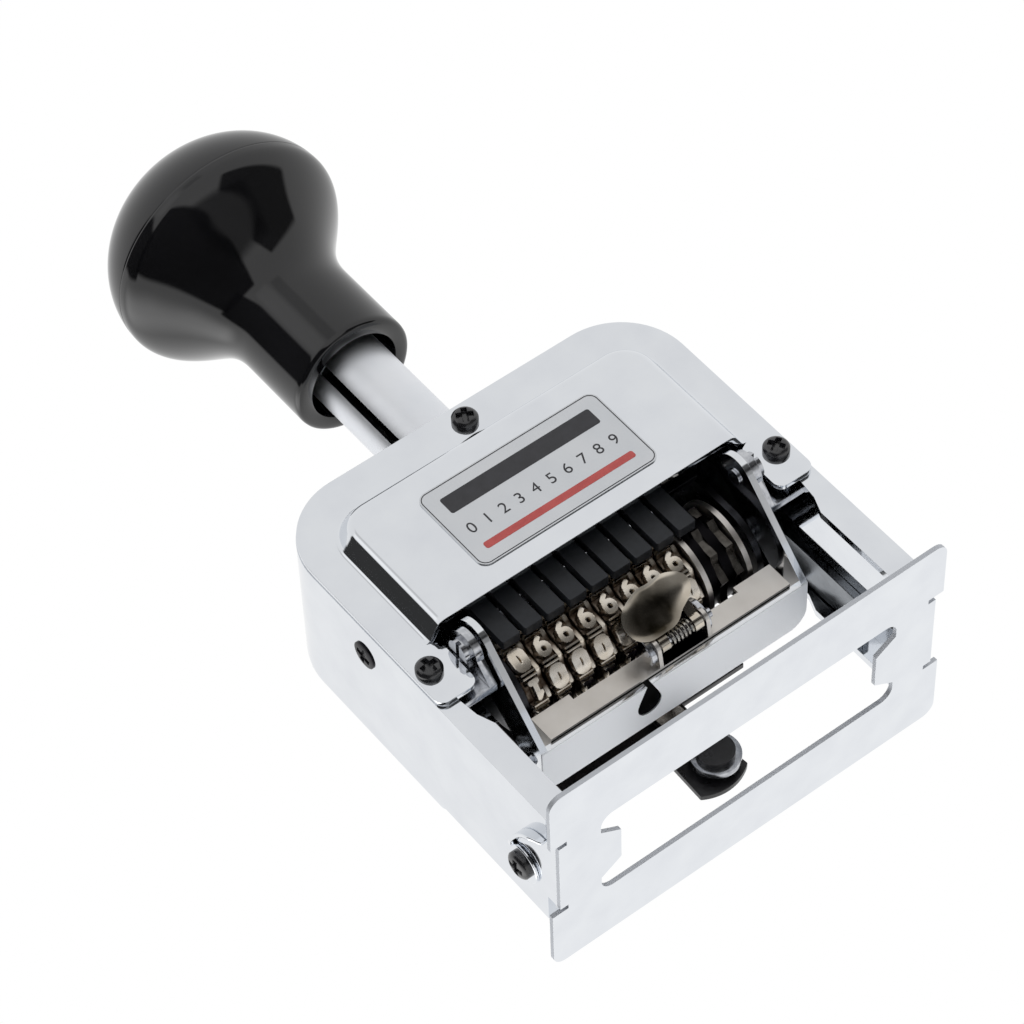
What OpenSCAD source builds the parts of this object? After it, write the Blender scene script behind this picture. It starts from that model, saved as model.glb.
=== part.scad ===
// Hand-plunged automatic numbering machine with eight figure wheels.
// Upright, base on z = 0, front towards -Y, origin under the middle of the base.

/* [Base plate] */
// Width of the base plate across the machine
base_w = 66; // [62:0.5:76]
// Depth of the base plate front to back
base_d = 37; // [36.6:0.2:46]
// Thickness of the base plate
plate_t = 0.7; // [0.6:0.1:1.5]
// Corner radius of the base plate
plate_corner_r = 2; // [0.5:0.1:4]
// Width of the printing window
window_w = 49.8; // [46:0.2:52]
// Depth of the printing window
window_d = 16.4; // [15.6:0.1:20]
// How far the window's middle lies behind the middle of the base
window_y = 0.1; // [-0.2:0.05:0.4]
// Corner radius of the printing window
window_corner_r = 2; // [0.5:0.1:3]
// How far each end tongue reaches into the window
tongue_reach = 3.3; // [1:0.1:4]
// Width of an end tongue at its tip
tongue_tip_w = 6; // [3:0.1:7]
// Width of an end tongue at its root
tongue_root_w = 10.2; // [7.5:0.1:11]
// Depth of the strap where each side wall bends into the base
strap_d = 13.6; // [8:0.1:18]
// How far the strap's middle lies in front of the shaft plane
strap_back = 0.6; // [0:0.1:2]
// Length of the relief notch at each end of a strap
notch_l = 0.8; // [0.4:0.1:1.5]
// Depth of the relief notch into the plate
notch_depth = 2.6; // [1.5:0.1:3.5]

/* [Frame] */
// Outer width of the side walls
frame_w = 63.4; // [62:0.2:65.5]
// Depth of the frame front to back
frame_d = 22.6; // [21.6:0.2:26]
// Height of the frame's top
frame_top = 63.5; // [62:0.5:68]
// Sheet thickness of the frame
wall_t = 1.2; // [0.8:0.1:1.3]
// Outer radius of the frame's top corners
frame_corner_r = 11; // [6:0.5:14]
// Width of the flange along the side walls
flange_w = 4.3; // [3.6:0.1:5]
// Height of the flange at the top
flange_top_h = 7; // [5.4:0.1:8]
// Gap under the side walls beside the straps
leg_gap = 2.6; // [1.6:0.1:4]

/* [Cover] */
// Sheet thickness of the covers
cover_t = 0.8; // [0.5:0.1:1]
// How far a cover's edge stands in from the frame's edge
cover_inset = 0.1; // [0:0.05:1]
// Height of the lower end of the cover's tabs
tab_bottom = 24.4; // [22:0.2:27]
// Half width of the opening between the tabs
tab_inner_x = 25.3; // [25:0.1:26.5]
// Corner radius at the tabs' lower ends
tab_corner_r = 1.4; // [0.4:0.1:1.8]
// Width of the raised panel's face
panel_w = 48.2; // [44:0.2:49]
// Height of the raised panel's lower edge
panel_bottom = 33.5; // [33.4:0.1:35]
// Height of the raised panel's upper edge
panel_top = 54.6; // [50:0.2:56]
// How far the panel stands out of the cover sheet
panel_rise = 2.9; // [2.6:0.1:4]
// How much wider the panel is at its foot
panel_draft = 1.6; // [0.8:0.1:2]
// Corner radius of the panel's face
panel_corner_r = 4.5; // [2:0.1:6]
// Width of the label plate
label_w = 30; // [15:0.5:40]
// Height of the label plate
label_h = 15; // [8:0.5:18]
// Thickness of the label plate
label_t = 0.2; // [0.1:0.05:0.4]
// Corner radius of the label plate
label_corner_r = 1.6; // [0.5:0.1:3]
// Height of the label's middle
label_z = 44.3; // [43:0.1:45.5]

/* [Screws] */
// Head diameter of the cover screws
cover_head_d = 3.8; // [3.2:0.1:4.2]
// Head height of the cover screws
cover_head_h = 1.4; // [1.2:0.1:2.4]
// Shank diameter of the cover screws
cover_shank_d = 2.4; // [1.6:0.1:2.6]
// Distance of the lower cover screws from the middle
cover_screw_x = 29.3; // [28.8:0.1:29.6]
// Height of the lower cover screws
cover_screw_z = 29.9; // [28:0.1:31]
// Distance of the top cover screw from the frame's top
top_screw_drop = 3; // [2.4:0.1:3.6]
// Width of a cross recess arm
recess_w = 0.7; // [0.4:0.05:0.9]
// Depth of a cross recess
recess_depth = 0.9; // [0.4:0.1:1]
// Head diameter of the side screws
side_head_d = 4.2; // [3.4:0.1:5]
// Head height of the side screws
side_head_h = 1.1; // [1.1:0.1:2]
// Shank diameter of the side screws
side_shank_d = 2.6; // [1.8:0.1:3]
// How far a side screw shows inside the wall
side_screw_end = 0.6; // [0.2:0.1:0.8]
// How far the upper side screw lies in front of the middle
side_screw_y = 5.8; // [3:0.1:7]
// Height of the upper side screw
side_screw_z = 41.2; // [38:0.2:46]
// How far the base side screw lies behind the middle
base_screw_y = 3.7; // [1.5:0.1:4.2]
// Height of the base side screw
base_screw_z = 7.4; // [6.6:0.1:9]
// Radius of the hook washer's ring
washer_r = 3.2; // [2.6:0.1:3.6]
// Thickness of the hook washer
washer_t = 0.5; // [0.3:0.1:0.8]
// Reach of the washer's hook towards the front
hook_reach = 9.6; // [6:0.1:10]
// Width of the hook's arm
hook_w = 1.5; // [0.8:0.1:2]

/* [Shaft and knob] */
// How far the shaft's axis lies behind the middle
shaft_y = 2.6; // [1.5:0.1:3]
// Outer diameter of the shaft tube
shaft_d = 12; // [11:0.1:12.6]
// Wall thickness of the shaft tube
shaft_wall = 1.5; // [1:0.1:2]
// Stroke of the plunger
stroke = 20.5; // [16:0.1:20.5]
// Direction of the keyway, in degrees from +X
keyway_deg = 219.4; // [0:0.1:360]
// Width of the keyway
keyway_w = 1.4; // [1:0.1:1.8]
// Height of the cross key
key_h = 1.8; // [1:0.1:1.8]
// Thickness of the bush left above the cross key
key_cover = 0.6; // [0.4:0.1:0.6]
// Diameter of the guide bush's neck in the frame
bush_neck_d = 14.4; // [14:0.1:14.6]
// Diameter of the guide bush's collar
bush_collar_d = 18; // [17:0.1:19]
// Height of the bush collar above the frame
bush_collar_h = 2.5; // [2.3:0.1:3.2]
// Length of the bush's sleeve under the frame's top
bush_sleeve_h = 2; // [1:0.1:4]
// Depth of the cross key's socket in the bush wall
key_socket = 1.4; // [0.8:0.1:1.6]
// Gap between the knob's rim and the bush when pressed down
knob_rest_gap = 0.5; // [0.3:0.1:2]
// Radius of the knob's neck
knob_neck_r = 9.75; // [9.2:0.05:10.5]
// Inner radius of the knob's mouth
knob_mouth_r = 7.2; // [6.6:0.1:7.8]
// Depth of the knob's mouth
knob_mouth_h = 14; // [8:0.5:18]
// Length of the knob's straight neck
knob_neck_h = 13; // [10:0.5:16]
// Height from the neck's end to the ball's widest place
knob_flare_h = 17.8; // [15:0.2:20]
// Radius of the ball at its widest place
knob_ball_r = 18.6; // [16:0.1:20]
// Height of the ball above its widest place
knob_crown_h = 15.2; // [12:0.2:18]
// Depth of the shaft's seat above the knob's mouth
knob_seat_h = 12; // [9:0.5:13]
// Thickness of the plug's flange
plug_flange_t = 1.6; // [1:0.1:2.4]
// Length of the plug inside the shaft
plug_stem_h = 2; // [1:0.1:4]
// Wire diameter of the return spring
spring_wire_d = 0.9; // [0.6:0.05:1.1]
// Number of turns of the return spring
spring_turns = 14; // [8:1:18]

/* [Carriage] */
// Height of the crosshead's lower face
crosshead_z = 46; // [44:0.2:48]
// Thickness of the crosshead
crosshead_t = 3; // [2:0.1:4]
// How far the crosshead's wings reach to the front of the middle
wing_front = 6; // [4:0.1:6.5]
// How far the crosshead reaches behind the middle
wing_back = 9; // [8.9:0.1:9.4]
// Distance of the side plates' outer faces from the middle
side_plate_x = 20.3; // [20:0.1:20.4]
// Thickness of the side plates
side_plate_t = 1; // [0.6:0.1:1]
// Radius of the side plates' lower ends
side_plate_r = 6.6; // [4:0.1:6.8]
// Radius of the tie bars
tie_r = 1.2; // [0.8:0.1:1.4]
// Height of the tie bars
tie_z = 42.4; // [41.6:0.1:43]
// Distance of the front tie bar in front of the middle
tie_front = 6; // [5.6:0.1:6.4]
// Thickness of the guide rails
rail_t = 1.2; // [0.8:0.1:1.4]
// Depth of the guide rails front to back
rail_d = 6.2; // [3:0.1:6.3]
// Front edge of the guide rails behind the middle
rail_y = 3.6; // [3:0.1:3.7]
// Height of the guide rails' lower end
rail_bottom = 12; // [11:0.2:20]
// Distance of the guide rails' upper end from the frame's top
rail_top_drop = 12.5; // [11.5:0.1:13.2]

/* [Number wheels] */
// Number of figure wheels
wheel_count = 8; // [4:1:8]
// Distance from wheel to wheel
wheel_pitch = 3.7; // [3.5:0.05:3.7]
// Middle of the first wheel, left of the middle
wheel_first_x = 17.5; // [17.3:0.1:17.5]
// Radius over the raised figures
wheel_r = 7.5; // [7:0.05:7.5]
// Height of the figure blocks above the wheel
figure_h = 1.2; // [0.6:0.1:1.6]
// Length of a figure block around the wheel
figure_l = 3.9; // [2.5:0.1:4]
// Width of a figure block
figure_w = 2.4; // [1.6:0.1:2.6]
// Radius of the wheels' ratchet teeth
ratchet_r = 6.9; // [6.5:0.1:7]
// Thickness of the wheels' ratchet discs
ratchet_t = 0.8; // [0.5:0.1:1]
// How far the axle lies in front of the middle
axle_front = 2; // [1.5:0.1:2.4]
// Height of the wheels' lowest point
print_height = 20.6; // [20.5:0.05:21]
// Diameter of the wheel axle
axle_d = 3; // [2:0.1:4]
// Radius of the axle's riveted ends
axle_head_r = 2.2; // [2.1:0.1:3]
// Thickness of the axle's riveted ends
axle_head_t = 0.6; // [0.3:0.1:0.6]
// Number of figures on a wheel
figure_count = 10; // [10:1:10]
// Radius of the dark spacer discs
spacer_r = 6.3; // [5:0.1:6.8]
// Thickness of the spacer discs
spacer_t = 1.5; // [0.8:0.1:1.6]
// Thickness of the drive ratchets
drive_t = 1.2; // [0.8:0.1:1.2]

/* [Detents] */
// Height of the detent blocks
block_h = 8.6; // [3:0.1:9]
// Width of the detent blocks
block_w = 2.9; // [2.4:0.1:3.3]
// Thickness of the detent blocks
block_t = 1.65; // [1:0.05:1.8]
// Corner radius of the detent blocks
block_corner_r = 0.3; // [0.2:0.1:1.2]
// Height of the detent blocks' lower ends above the axle, negative below it
block_rise = -0.4; // [-0.5:0.1:1.5]
// Thickness of the comb bar
comb_t = 0.7; // [0.4:0.05:0.7]
// Lap of the comb bar behind the detent blocks
comb_lap = 1.7; // [0.8:0.1:1.7]

/* [Feed arm] */
// Radius of the feed plates
feed_plate_r = 7.3; // [6:0.1:7.3]
// Thickness of the feed plates
feed_plate_t = 0.8; // [0.5:0.1:0.8]
// Distance of the feed rod from the axle
feed_rod_dist = 9.9; // [9.4:0.1:10.2]
// Radius of the feed rod
feed_rod_r = 0.9; // [0.6:0.05:1]
// Direction of the feed rod from the axle at rest, above +Y
feed_rest_deg = 60; // [50:1:70]
// Thickness of the feed fingers
finger_t = 0.7; // [0.4:0.1:0.8]
// Width of a feed finger
finger_w = 2; // [1:0.1:2.6]

/* [Ink pad yoke] */
// Height of the pad yoke's pivot
yoke_z = 29.3; // [29.2:0.1:29.4]
// How far the pad yoke's pivot lies in front of the middle
yoke_front = 13; // [12.9:0.1:13.1]
// Radius of the yoke arms' upper ends
arm_r = 3.5; // [3:0.1:3.6]
// Distance of the yoke arms' outer faces from the middle
arm_x = 22.6; // [22.5:0.1:22.8]
// Sheet thickness of the yoke
yoke_t = 1; // [0.6:0.1:1]
// Height of the tray's underside
tray_z = 15.1; // [15:0.1:15.3]
// How far the tray's front edge lies in front of the middle
tray_front = 3.3; // [2.6:0.1:3.4]
// How far the tray reaches behind the middle
tray_back = 5.2; // [4.9:0.1:5.6]
// Radius of the tray's back corners
tray_corner_r = 3; // [1:0.1:4]
// Radius of the tear-drop hole in the tray
drop_r = 2; // [1:0.1:2.4]
// Distance of the tear-drop hole left of the middle
drop_x = 4.6; // [3:0.1:6]
// Radius of the pad pivots
pivot_r = 1.2; // [0.8:0.1:1.4]
// Radius of the pad pivots' heads
pivot_head_r = 1.9; // [1.7:0.1:2.2]
// Thickness of the pad pivots' heads
pivot_head_t = 1; // [0.5:0.1:1.4]
// Radius of the bracket ears
ear_r = 2.8; // [2.4:0.1:3]
// Thickness of the bracket ears
ear_t = 1.2; // [0.8:0.1:1.2]
// Height of the brackets' feet
foot_h = 12; // [10:0.5:14]
// Thickness of the brackets' feet
foot_t = 1.2; // [0.8:0.1:1.4]
// Width of the pad holder
holder_w = 40.6; // [36:0.2:41]
// Sheet thickness of the pad holder
holder_t = 0.6; // [0.4:0.05:0.7]
// Height of the pad holder's walls
holder_h = 4.3; // [3.8:0.1:4.3]
// Drop of the front wall's middle part
holder_step = 1; // [0.4:0.1:1.6]
// Half width of the front wall's middle part
holder_step_x = 14; // [10:0.5:16]
// Gap between the ink pad and the holder's walls
pad_gap = 0.3; // [0.1:0.1:0.6]
// Gap between the ink pad and the wheels
pad_wheel_gap = 0.3; // [0.3:0.05:0.6]
// Radius of the yoke's rivets
rivet_r = 1; // [0.6:0.1:1.2]
// Height of the yoke's rivets
rivet_h = 0.6; // [0.3:0.1:0.8]

/* [Pad latch] */
// Middle of the latch, right of the middle
latch_x = 2.4; // [1.5:0.1:3.5]
// Distance between the latch ears
latch_gap = 7.6; // [7:0.1:9]
// Distance of the latch pin in front of the middle
latch_front = 6.2; // [6:0.1:6.6]
// Height of the latch pin
latch_z = 17.9; // [17.8:0.1:18.4]
// Radius of the latch pin
latch_pin_r = 0.7; // [0.5:0.05:0.9]
// How far the latch pin stands out of its ears
latch_pin_end = 1; // [0.3:0.1:3]
// Width of the spoon
spoon_w = 12; // [8:0.1:13]
// Height of the spoon
spoon_h = 7.4; // [5:0.1:7.6]
// Thickness of the spoon
spoon_t = 0.6; // [0.4:0.05:0.8]
// Lean of the spoon towards the front, in degrees
spoon_lean = 31; // [26:1:34]
// Wall of the latch's knuckles
knuckle_wall = 0.55; // [0.4:0.05:0.7]
// Width of a knuckle
knuckle_w = 1.4; // [0.8:0.1:1.6]
// Wire diameter of the latch spring
latch_wire_d = 0.45; // [0.3:0.05:0.5]
// Turns of the latch spring
latch_turns = 6; // [4:1:7]

/* [Selector] */
// Height of the selector's pivot
selector_z = 40; // [38:0.2:43]
// Radius of the selector's pivot
selector_pivot_r = 1.5; // [1:0.1:1.8]
// Length of the selector lever from pivot to tip
selector_l = 30; // [28:0.2:31]
// Lean of the selector lever at rest, in degrees
selector_deg = 5.2; // [2:0.1:6]
// Width of the selector lever
selector_w = 4; // [3.4:0.1:5]
// Thickness of the selector lever
selector_t = 1; // [0.6:0.1:1]
// Radius of the selector's tip
tip_r = 2.7; // [2.2:0.1:3.2]
// Thickness of the selector's tip
tip_t = 0.9; // [0.5:0.1:0.9]
// Thickness of the selector plate
dial_t = 1; // [0.6:0.1:1.2]
// Radius of the selector plate's fan
fan_r = 7.2; // [5:0.1:8]
// Height of the fan's centre
fan_z = 13; // [12.8:0.1:16]
// Width of the selector plate's tab
dial_w = 7.6; // [6:0.1:12]
// How far the tab lies right of the middle
dial_x = 1.6; // [0:0.1:2.4]
// Width of the selector plate's wide part
dial_wide_w = 32.6; // [28:0.2:34]
// Height of the wide part's lower edge
dial_wide_z = 20.4; // [20:0.1:24]
// Height of the wide part
dial_wide_h = 16; // [13:0.2:18]
// Radius of the selector plate's upper end
dial_r = 7.6; // [5.2:0.1:8]

/* [Clearances] */
// Radial gap between a fixed pin or shank and its hole
fit_gap = 0.03; // [0.01:0.01:0.05]
// Radial gap of the running fits
run_gap = 0.05; // [0.02:0.01:0.1]
// Gap between pieces that move past each other
side_gap = 0.3; // [0.25:0.05:0.35]

/* [Hidden] */

fn = 64;
eps = 0.01;
wall_out = frame_w / 2;
wall_in = wall_out - wall_t;
face_y = frame_d / 2;
cover_y = face_y + cover_t;
panel_y = cover_y + panel_rise;
strap_y = -strap_back;
flange_in = wall_out - flange_w;
flange_in_top = frame_top - flange_top_h;
cover_out = wall_out - cover_inset;
cover_top = frame_top - cover_inset;
top_screw_z = frame_top - top_screw_drop;
yoke_y = -yoke_front;
axle_y = -axle_front;
axle_z = print_height + wheel_r;
axle_r = axle_d / 2;
wheel_w = wheel_pitch - side_gap;
hub_r = wheel_r - figure_h;
plate_in = side_plate_x - side_plate_t;
shaft_r = shaft_d / 2;
bore_r = shaft_r - shaft_wall;
bush_top = frame_top + bush_collar_h;
key_w = keyway_w - 4 * run_gap;
key_top = bush_top - key_cover;
key_bottom = key_top - key_h;
keyway_bottom = key_bottom - side_gap;
knob_z = bush_top + stroke + knob_rest_gap;
keyway_top = knob_z + 1;
knob_seat_z = knob_z + knob_mouth_h;
shaft_top = knob_seat_z + knob_seat_h - plug_flange_t;
plug_bottom = shaft_top - plug_stem_h;
ball_z = knob_z + knob_neck_h + knob_flare_h;
crosshead_top = crosshead_z + crosshead_t;
rail_in = wall_in - rail_t;
wing_x = rail_in - side_gap;
rail_top = frame_top - rail_top_drop;
block_back = axle_front + wheel_r + 1.5 * side_gap;
block_z = axle_z + block_rise;
comb_z = block_z + block_h - comb_lap;
comb_back_y = block_back - comb_t;
stack_x = -wheel_first_x + 7 * wheel_pitch + wheel_w / 2 + side_gap;
arm_in = arm_x - yoke_t;
ear_in = arm_x + side_gap;
ear_out = ear_in + ear_t;
tray_top = tray_z + yoke_t;
holder_front = tray_front + holder_t;
holder_top = tray_top + holder_h;
pad_top = print_height - pad_wheel_gap;
latch_y = -latch_front;
latch_left = latch_x - latch_gap / 2;
latch_right = latch_x + latch_gap / 2;
panel_in_y = panel_y - cover_t;

// ---- helpers ---------------------------------------------------------

// extrudes a front-view outline (x, z) from depth y0 over t
module along_y(y0, t) {
  translate([0, y0 + t, 0]) rotate([90, 0, 0]) linear_extrude(t) children();
}

// extrudes a side-view outline (y, z) from x0 over t
module along_x(x0, t) {
  translate([x0, 0, 0]) rotate([90, 0, 90]) linear_extrude(t) children();
}

module rod_x(x0, x1, r) {
  translate([x0, 0, 0]) rotate([0, 90, 0]) cylinder(h = x1 - x0, r = r, $fn = fn);
}

module rod_y(y0, y1, r) {
  translate([0, y0, 0]) rotate([-90, 0, 0]) cylinder(h = y1 - y0, r = r, $fn = fn);
}

module both_sides() {
  children();
  mirror([1, 0, 0]) children();
}

module round_rect(w, h, r) {
  square([w, h - 2 * r], center = true);
  square([w - 2 * r, h], center = true);
  for (x = [-1, 1], y = [-1, 1])
    translate([x * (w / 2 - r), y * (h / 2 - r)]) circle(r, $fn = fn);
}

// upright outline with rounded top corners
module arch(half, low, top, r) {
  translate([-half, low]) square([2 * half, top - r - low]);
  translate([r - half, low]) square([2 * half - 2 * r, top - low]);
  for (s = [-1, 1]) translate([s * (half - r), top - r]) circle(r, $fn = fn);
}

// pan head with a cross recess, head up, shank down from z = 0
module cross_screw(head_r, head_h, shank_r, shank_l) {
  difference() {
    union() {
      rotate_extrude($fn = fn)
        polygon(concat([[0, 0], [head_r, 0]],
          [for (i = [0:6]) let (a = i * 15)
            [head_r - head_h * 0.4 * (1 - cos(a)), head_h * (0.6 + 0.4 * sin(a))]],
          [[0, head_h]]));
      translate([0, 0, -shank_l]) cylinder(h = shank_l + eps, r = shank_r, $fn = fn);
    }
    for (a = [0, 90]) rotate([0, 0, a])
      translate([-head_r * 0.66, -recess_w / 2, head_h - recess_depth])
        cube([head_r * 1.32, recess_w, recess_depth + 1]);
  }
}

// tube swept along a helix that climbs from z = 0 to z = h
module coil(r, wire, h, turns, sides, steps) {
  n = turns * steps;
  pts = [for (i = [0:n]) let (a = 360 * i / steps, z = wire / 2 + (h - wire) * i / n)
    for (j = [0:sides - 1]) let (b = 360 * j / sides, q = r + wire / 2 * cos(b))
      [q * cos(a), q * sin(a), z + wire / 2 * sin(b)]];
  polyhedron(pts, concat(
    [[for (j = [0:sides - 1]) j]],
    [for (i = [0:n - 1], j = [0:sides - 1])
      [i * sides + j, (i + 1) * sides + j,
       (i + 1) * sides + (j + 1) % sides, i * sides + (j + 1) % sides]],
    [[for (j = [sides - 1:-1:0]) n * sides + j]]));
}

// ---- frame -----------------------------------------------------------

module tongue() {
  tip = window_w / 2 - tongue_reach;
  polygon([[tip, -tongue_tip_w / 2], [tip, tongue_tip_w / 2],
    [window_w / 2 + eps, tongue_root_w / 2], [window_w / 2 + eps, -tongue_root_w / 2]]);
}

module base_outline() {
  difference() {
    round_rect(base_w, base_d, plate_corner_r);
    difference() {
      translate([0, window_y]) round_rect(window_w, window_d, window_corner_r);
      both_sides() translate([0, window_y]) tongue();
    }
    both_sides() {
      translate([wall_out, strap_y - strap_d / 2]) square([base_w, strap_d]);
      for (s = [-1, 1])
        translate([base_w / 2 - notch_depth, strap_y + s * (strap_d + notch_l) / 2 - notch_l / 2])
          square([base_w, notch_l]);
    }
  }
}

module frame_flange(y0) {
  along_y(y0, wall_t) difference() {
    arch(wall_out, leg_gap, frame_top, frame_corner_r);
    arch(flange_in, 0, flange_in_top, frame_corner_r - 2);
    both_sides() polygon([[flange_in - eps, tab_bottom - 6], [flange_in + 1, tab_bottom - 3.4],
      [flange_in + 1.4, tab_bottom], [flange_in + 1.4, tab_bottom + 2], [flange_in - eps, tab_bottom + 3]]);
  }
}

module main_frame() {
  color("gainsboro") difference() {
    union() {
      linear_extrude(plate_t) base_outline();
      along_y(-face_y, frame_d) difference() {
        arch(wall_out, leg_gap, frame_top, frame_corner_r);
        arch(wall_in, 0, frame_top - wall_t, frame_corner_r - wall_t);
      }
      both_sides() translate([wall_in, strap_y - strap_d / 2, 0]) cube([wall_t, strap_d, leg_gap + eps]);
      frame_flange(-face_y);
      frame_flange(face_y - wall_t);
    }
    for (s = [-1, 1]) translate([s * cover_screw_x, 0, cover_screw_z])
      rod_y(-base_d, base_d, cover_shank_d / 2 + fit_gap);
    translate([0, 0, top_screw_z]) rod_y(-base_d, base_d, cover_shank_d / 2 + fit_gap);
    translate([0, -side_screw_y, side_screw_z]) rod_x(-base_w, base_w, side_shank_d / 2 + fit_gap);
    translate([0, base_screw_y, base_screw_z]) rod_x(-base_w, base_w, side_shank_d / 2 + fit_gap);
    translate([0, shaft_y, frame_top / 2]) cylinder(h = frame_top, r = bush_neck_d / 2 + fit_gap, $fn = fn);
  }
}

// one slice of the panel, w wide and from the lower edge up to top
module panel_slice(y0, w, low, top, r) {
  along_y(y0, eps) arch(w / 2, low, top, r);
}

module cover_shape() {
  difference() {
    union() {
      along_y(-cover_y, cover_t) difference() {
        arch(cover_out, tab_bottom, cover_top, frame_corner_r - cover_inset);
        translate([-tab_inner_x, tab_bottom - 1]) square([2 * tab_inner_x, panel_bottom - tab_bottom + 1]);
        both_sides() for (x = [tab_inner_x, cover_out]) difference() {
          translate([x - tab_corner_r, tab_bottom - eps]) square([2 * tab_corner_r, tab_corner_r]);
          translate([x + (x > tab_inner_x ? -1 : 1) * tab_corner_r, tab_bottom + tab_corner_r])
            circle(tab_corner_r, $fn = fn);
        }
      }
      hull() {
        panel_slice(-cover_y, panel_w + 2 * panel_draft, panel_bottom, panel_top + panel_draft, panel_corner_r + panel_draft);
        panel_slice(-panel_y, panel_w, panel_bottom, panel_top, panel_corner_r);
      }
    }
    hull() {
      panel_slice(eps - face_y, panel_w + 2 * (panel_draft - cover_t), panel_bottom - 1,
        panel_top + panel_draft - cover_t, panel_corner_r + panel_draft - cover_t);
      panel_slice(-panel_in_y, panel_w - cover_t, panel_bottom - 1,
        panel_top - cover_t / 2, panel_corner_r - cover_t / 2);
    }
    for (s = [-1, 1]) translate([s * cover_screw_x, 0, cover_screw_z])
      rod_y(-panel_y, 0, cover_shank_d / 2 + fit_gap);
    translate([0, 0, top_screw_z]) rod_y(-panel_y, 0, cover_shank_d / 2 + fit_gap);
  }
}

module front_cover() {
  color("whitesmoke") cover_shape();
}

module back_cover() {
  color("whitesmoke") difference() {
    mirror([0, 1, 0]) cover_shape();
    translate([0, 0, selector_z]) rod_y(0, base_d, selector_pivot_r + fit_gap);
  }
}

module label_plate() {
  color("lightgray") along_y(-panel_y - label_t, label_t)
    translate([0, label_z]) round_rect(label_w, label_h, label_corner_r);
}

module cover_screw(x, z, front_l, back_l) {
  for (s = [0, 1]) mirror([0, s, 0]) translate([x, -cover_y, z]) rotate([90, 0, 0])
    cross_screw(cover_head_d / 2, cover_head_h, cover_shank_d / 2, s == 0 ? front_l : back_l);
}

module cover_screws() {
  sheets = cover_t + wall_t;
  color("black") {
    for (s = [-1, 1]) cover_screw(s * cover_screw_x, cover_screw_z, sheets + foot_t, sheets);
    cover_screw(0, top_screw_z, sheets, sheets);
  }
}

module key_bar(extra) {
  translate([0, shaft_y, (key_top + key_bottom) / 2]) rotate([0, 0, keyway_deg])
    cube([2 * (shaft_r + key_socket + extra), key_w + 2 * extra, key_h + 2 * extra], center = true);
}

module guide_bush() {
  color("silver") difference() {
    translate([0, shaft_y, 0]) rotate_extrude($fn = fn) polygon([
      [shaft_r + run_gap, frame_top - wall_t - bush_sleeve_h],
      [bush_neck_d / 2, frame_top - wall_t - bush_sleeve_h],
      [bush_neck_d / 2, frame_top],
      [bush_collar_d / 2, frame_top],
      [bush_collar_d / 2, bush_top - 0.5],
      [bush_collar_d / 2 - 0.5, bush_top],
      [shaft_r + run_gap, bush_top]]);
    key_bar(fit_gap);
  }
}

module cross_key() {
  color("dimgray") key_bar(0);
}

module return_spring() {
  color("silver") translate([0, shaft_y, key_top])
    coil(bore_r - spring_wire_d / 2 - 2 * run_gap, spring_wire_d, plug_bottom - key_top, spring_turns, 6, 14);
}

module wall_screw(y, z, stand) {
  both_sides() translate([wall_out + stand, y, z]) rotate([0, 90, 0])
    cross_screw(side_head_d / 2, side_head_h, side_shank_d / 2, wall_t + side_screw_end + stand);
}

module side_screws() {
  color("silver") wall_screw(-side_screw_y, side_screw_z, 0);
}

module base_side_screws() {
  color("black") wall_screw(base_screw_y, base_screw_z, washer_t);
}

module hook_washers() {
  tip_y = base_screw_y - hook_reach;
  color("lightgray") both_sides() difference() {
    union() {
      along_x(wall_out, washer_t) union() {
        translate([base_screw_y, base_screw_z]) circle(washer_r, $fn = fn);
        polygon([[base_screw_y, base_screw_z - washer_r], [tip_y, leg_gap + hook_w],
          [tip_y, leg_gap + 2 * hook_w], [base_screw_y, base_screw_z + hook_w - washer_r]]);
        translate([base_screw_y - washer_r, base_screw_z - washer_r / 2]) circle(hook_w, $fn = fn);
      }
      translate([0, tip_y, leg_gap + 1.5 * hook_w]) rod_x(wall_out, wall_out + 2 * washer_t, hook_w / 2);
    }
    translate([0, base_screw_y, base_screw_z]) rod_x(0, base_w, side_shank_d / 2 + fit_gap);
  }
}

module guide_rails() {
  color("darkgray") both_sides()
    translate([rail_in, rail_y, rail_bottom]) cube([rail_t, rail_d, rail_top - rail_bottom]);
}

module pad_brackets() {
  foot_y = -face_y + wall_t;
  foot_low = cover_screw_z - foot_h / 2;
  color("dimgray") both_sides() difference() {
    union() {
      along_x(ear_in, ear_t) {
        translate([yoke_y, yoke_z]) circle(ear_r, $fn = fn);
        polygon([[yoke_y, yoke_z - ear_r], [yoke_y, yoke_z + ear_r],
          [foot_y + foot_t, yoke_z + ear_r], [foot_y + foot_t, foot_low], [foot_y, foot_low]]);
      }
      translate([ear_in, foot_y, foot_low]) cube([wall_in - side_gap - ear_in, foot_t, foot_h]);
    }
    translate([0, yoke_y, yoke_z]) rod_x(0, base_w, pivot_r + fit_gap);
    translate([cover_screw_x, 0, cover_screw_z]) rod_y(-base_d, 0, cover_shank_d / 2 + fit_gap);
  }
}

module pad_pivot_screws() {
  color("silver") both_sides() translate([0, yoke_y, yoke_z]) difference() {
    union() {
      rod_x(arm_in - side_gap, ear_out + eps, pivot_r);
      rod_x(ear_out, ear_out + pivot_head_t, pivot_head_r);
    }
    translate([ear_out + pivot_head_t / 2, -pivot_head_r, -recess_w / 2])
      cube([pivot_head_t, 2 * pivot_head_r, recess_w]);
  }
}

// ---- selector --------------------------------------------------------

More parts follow.
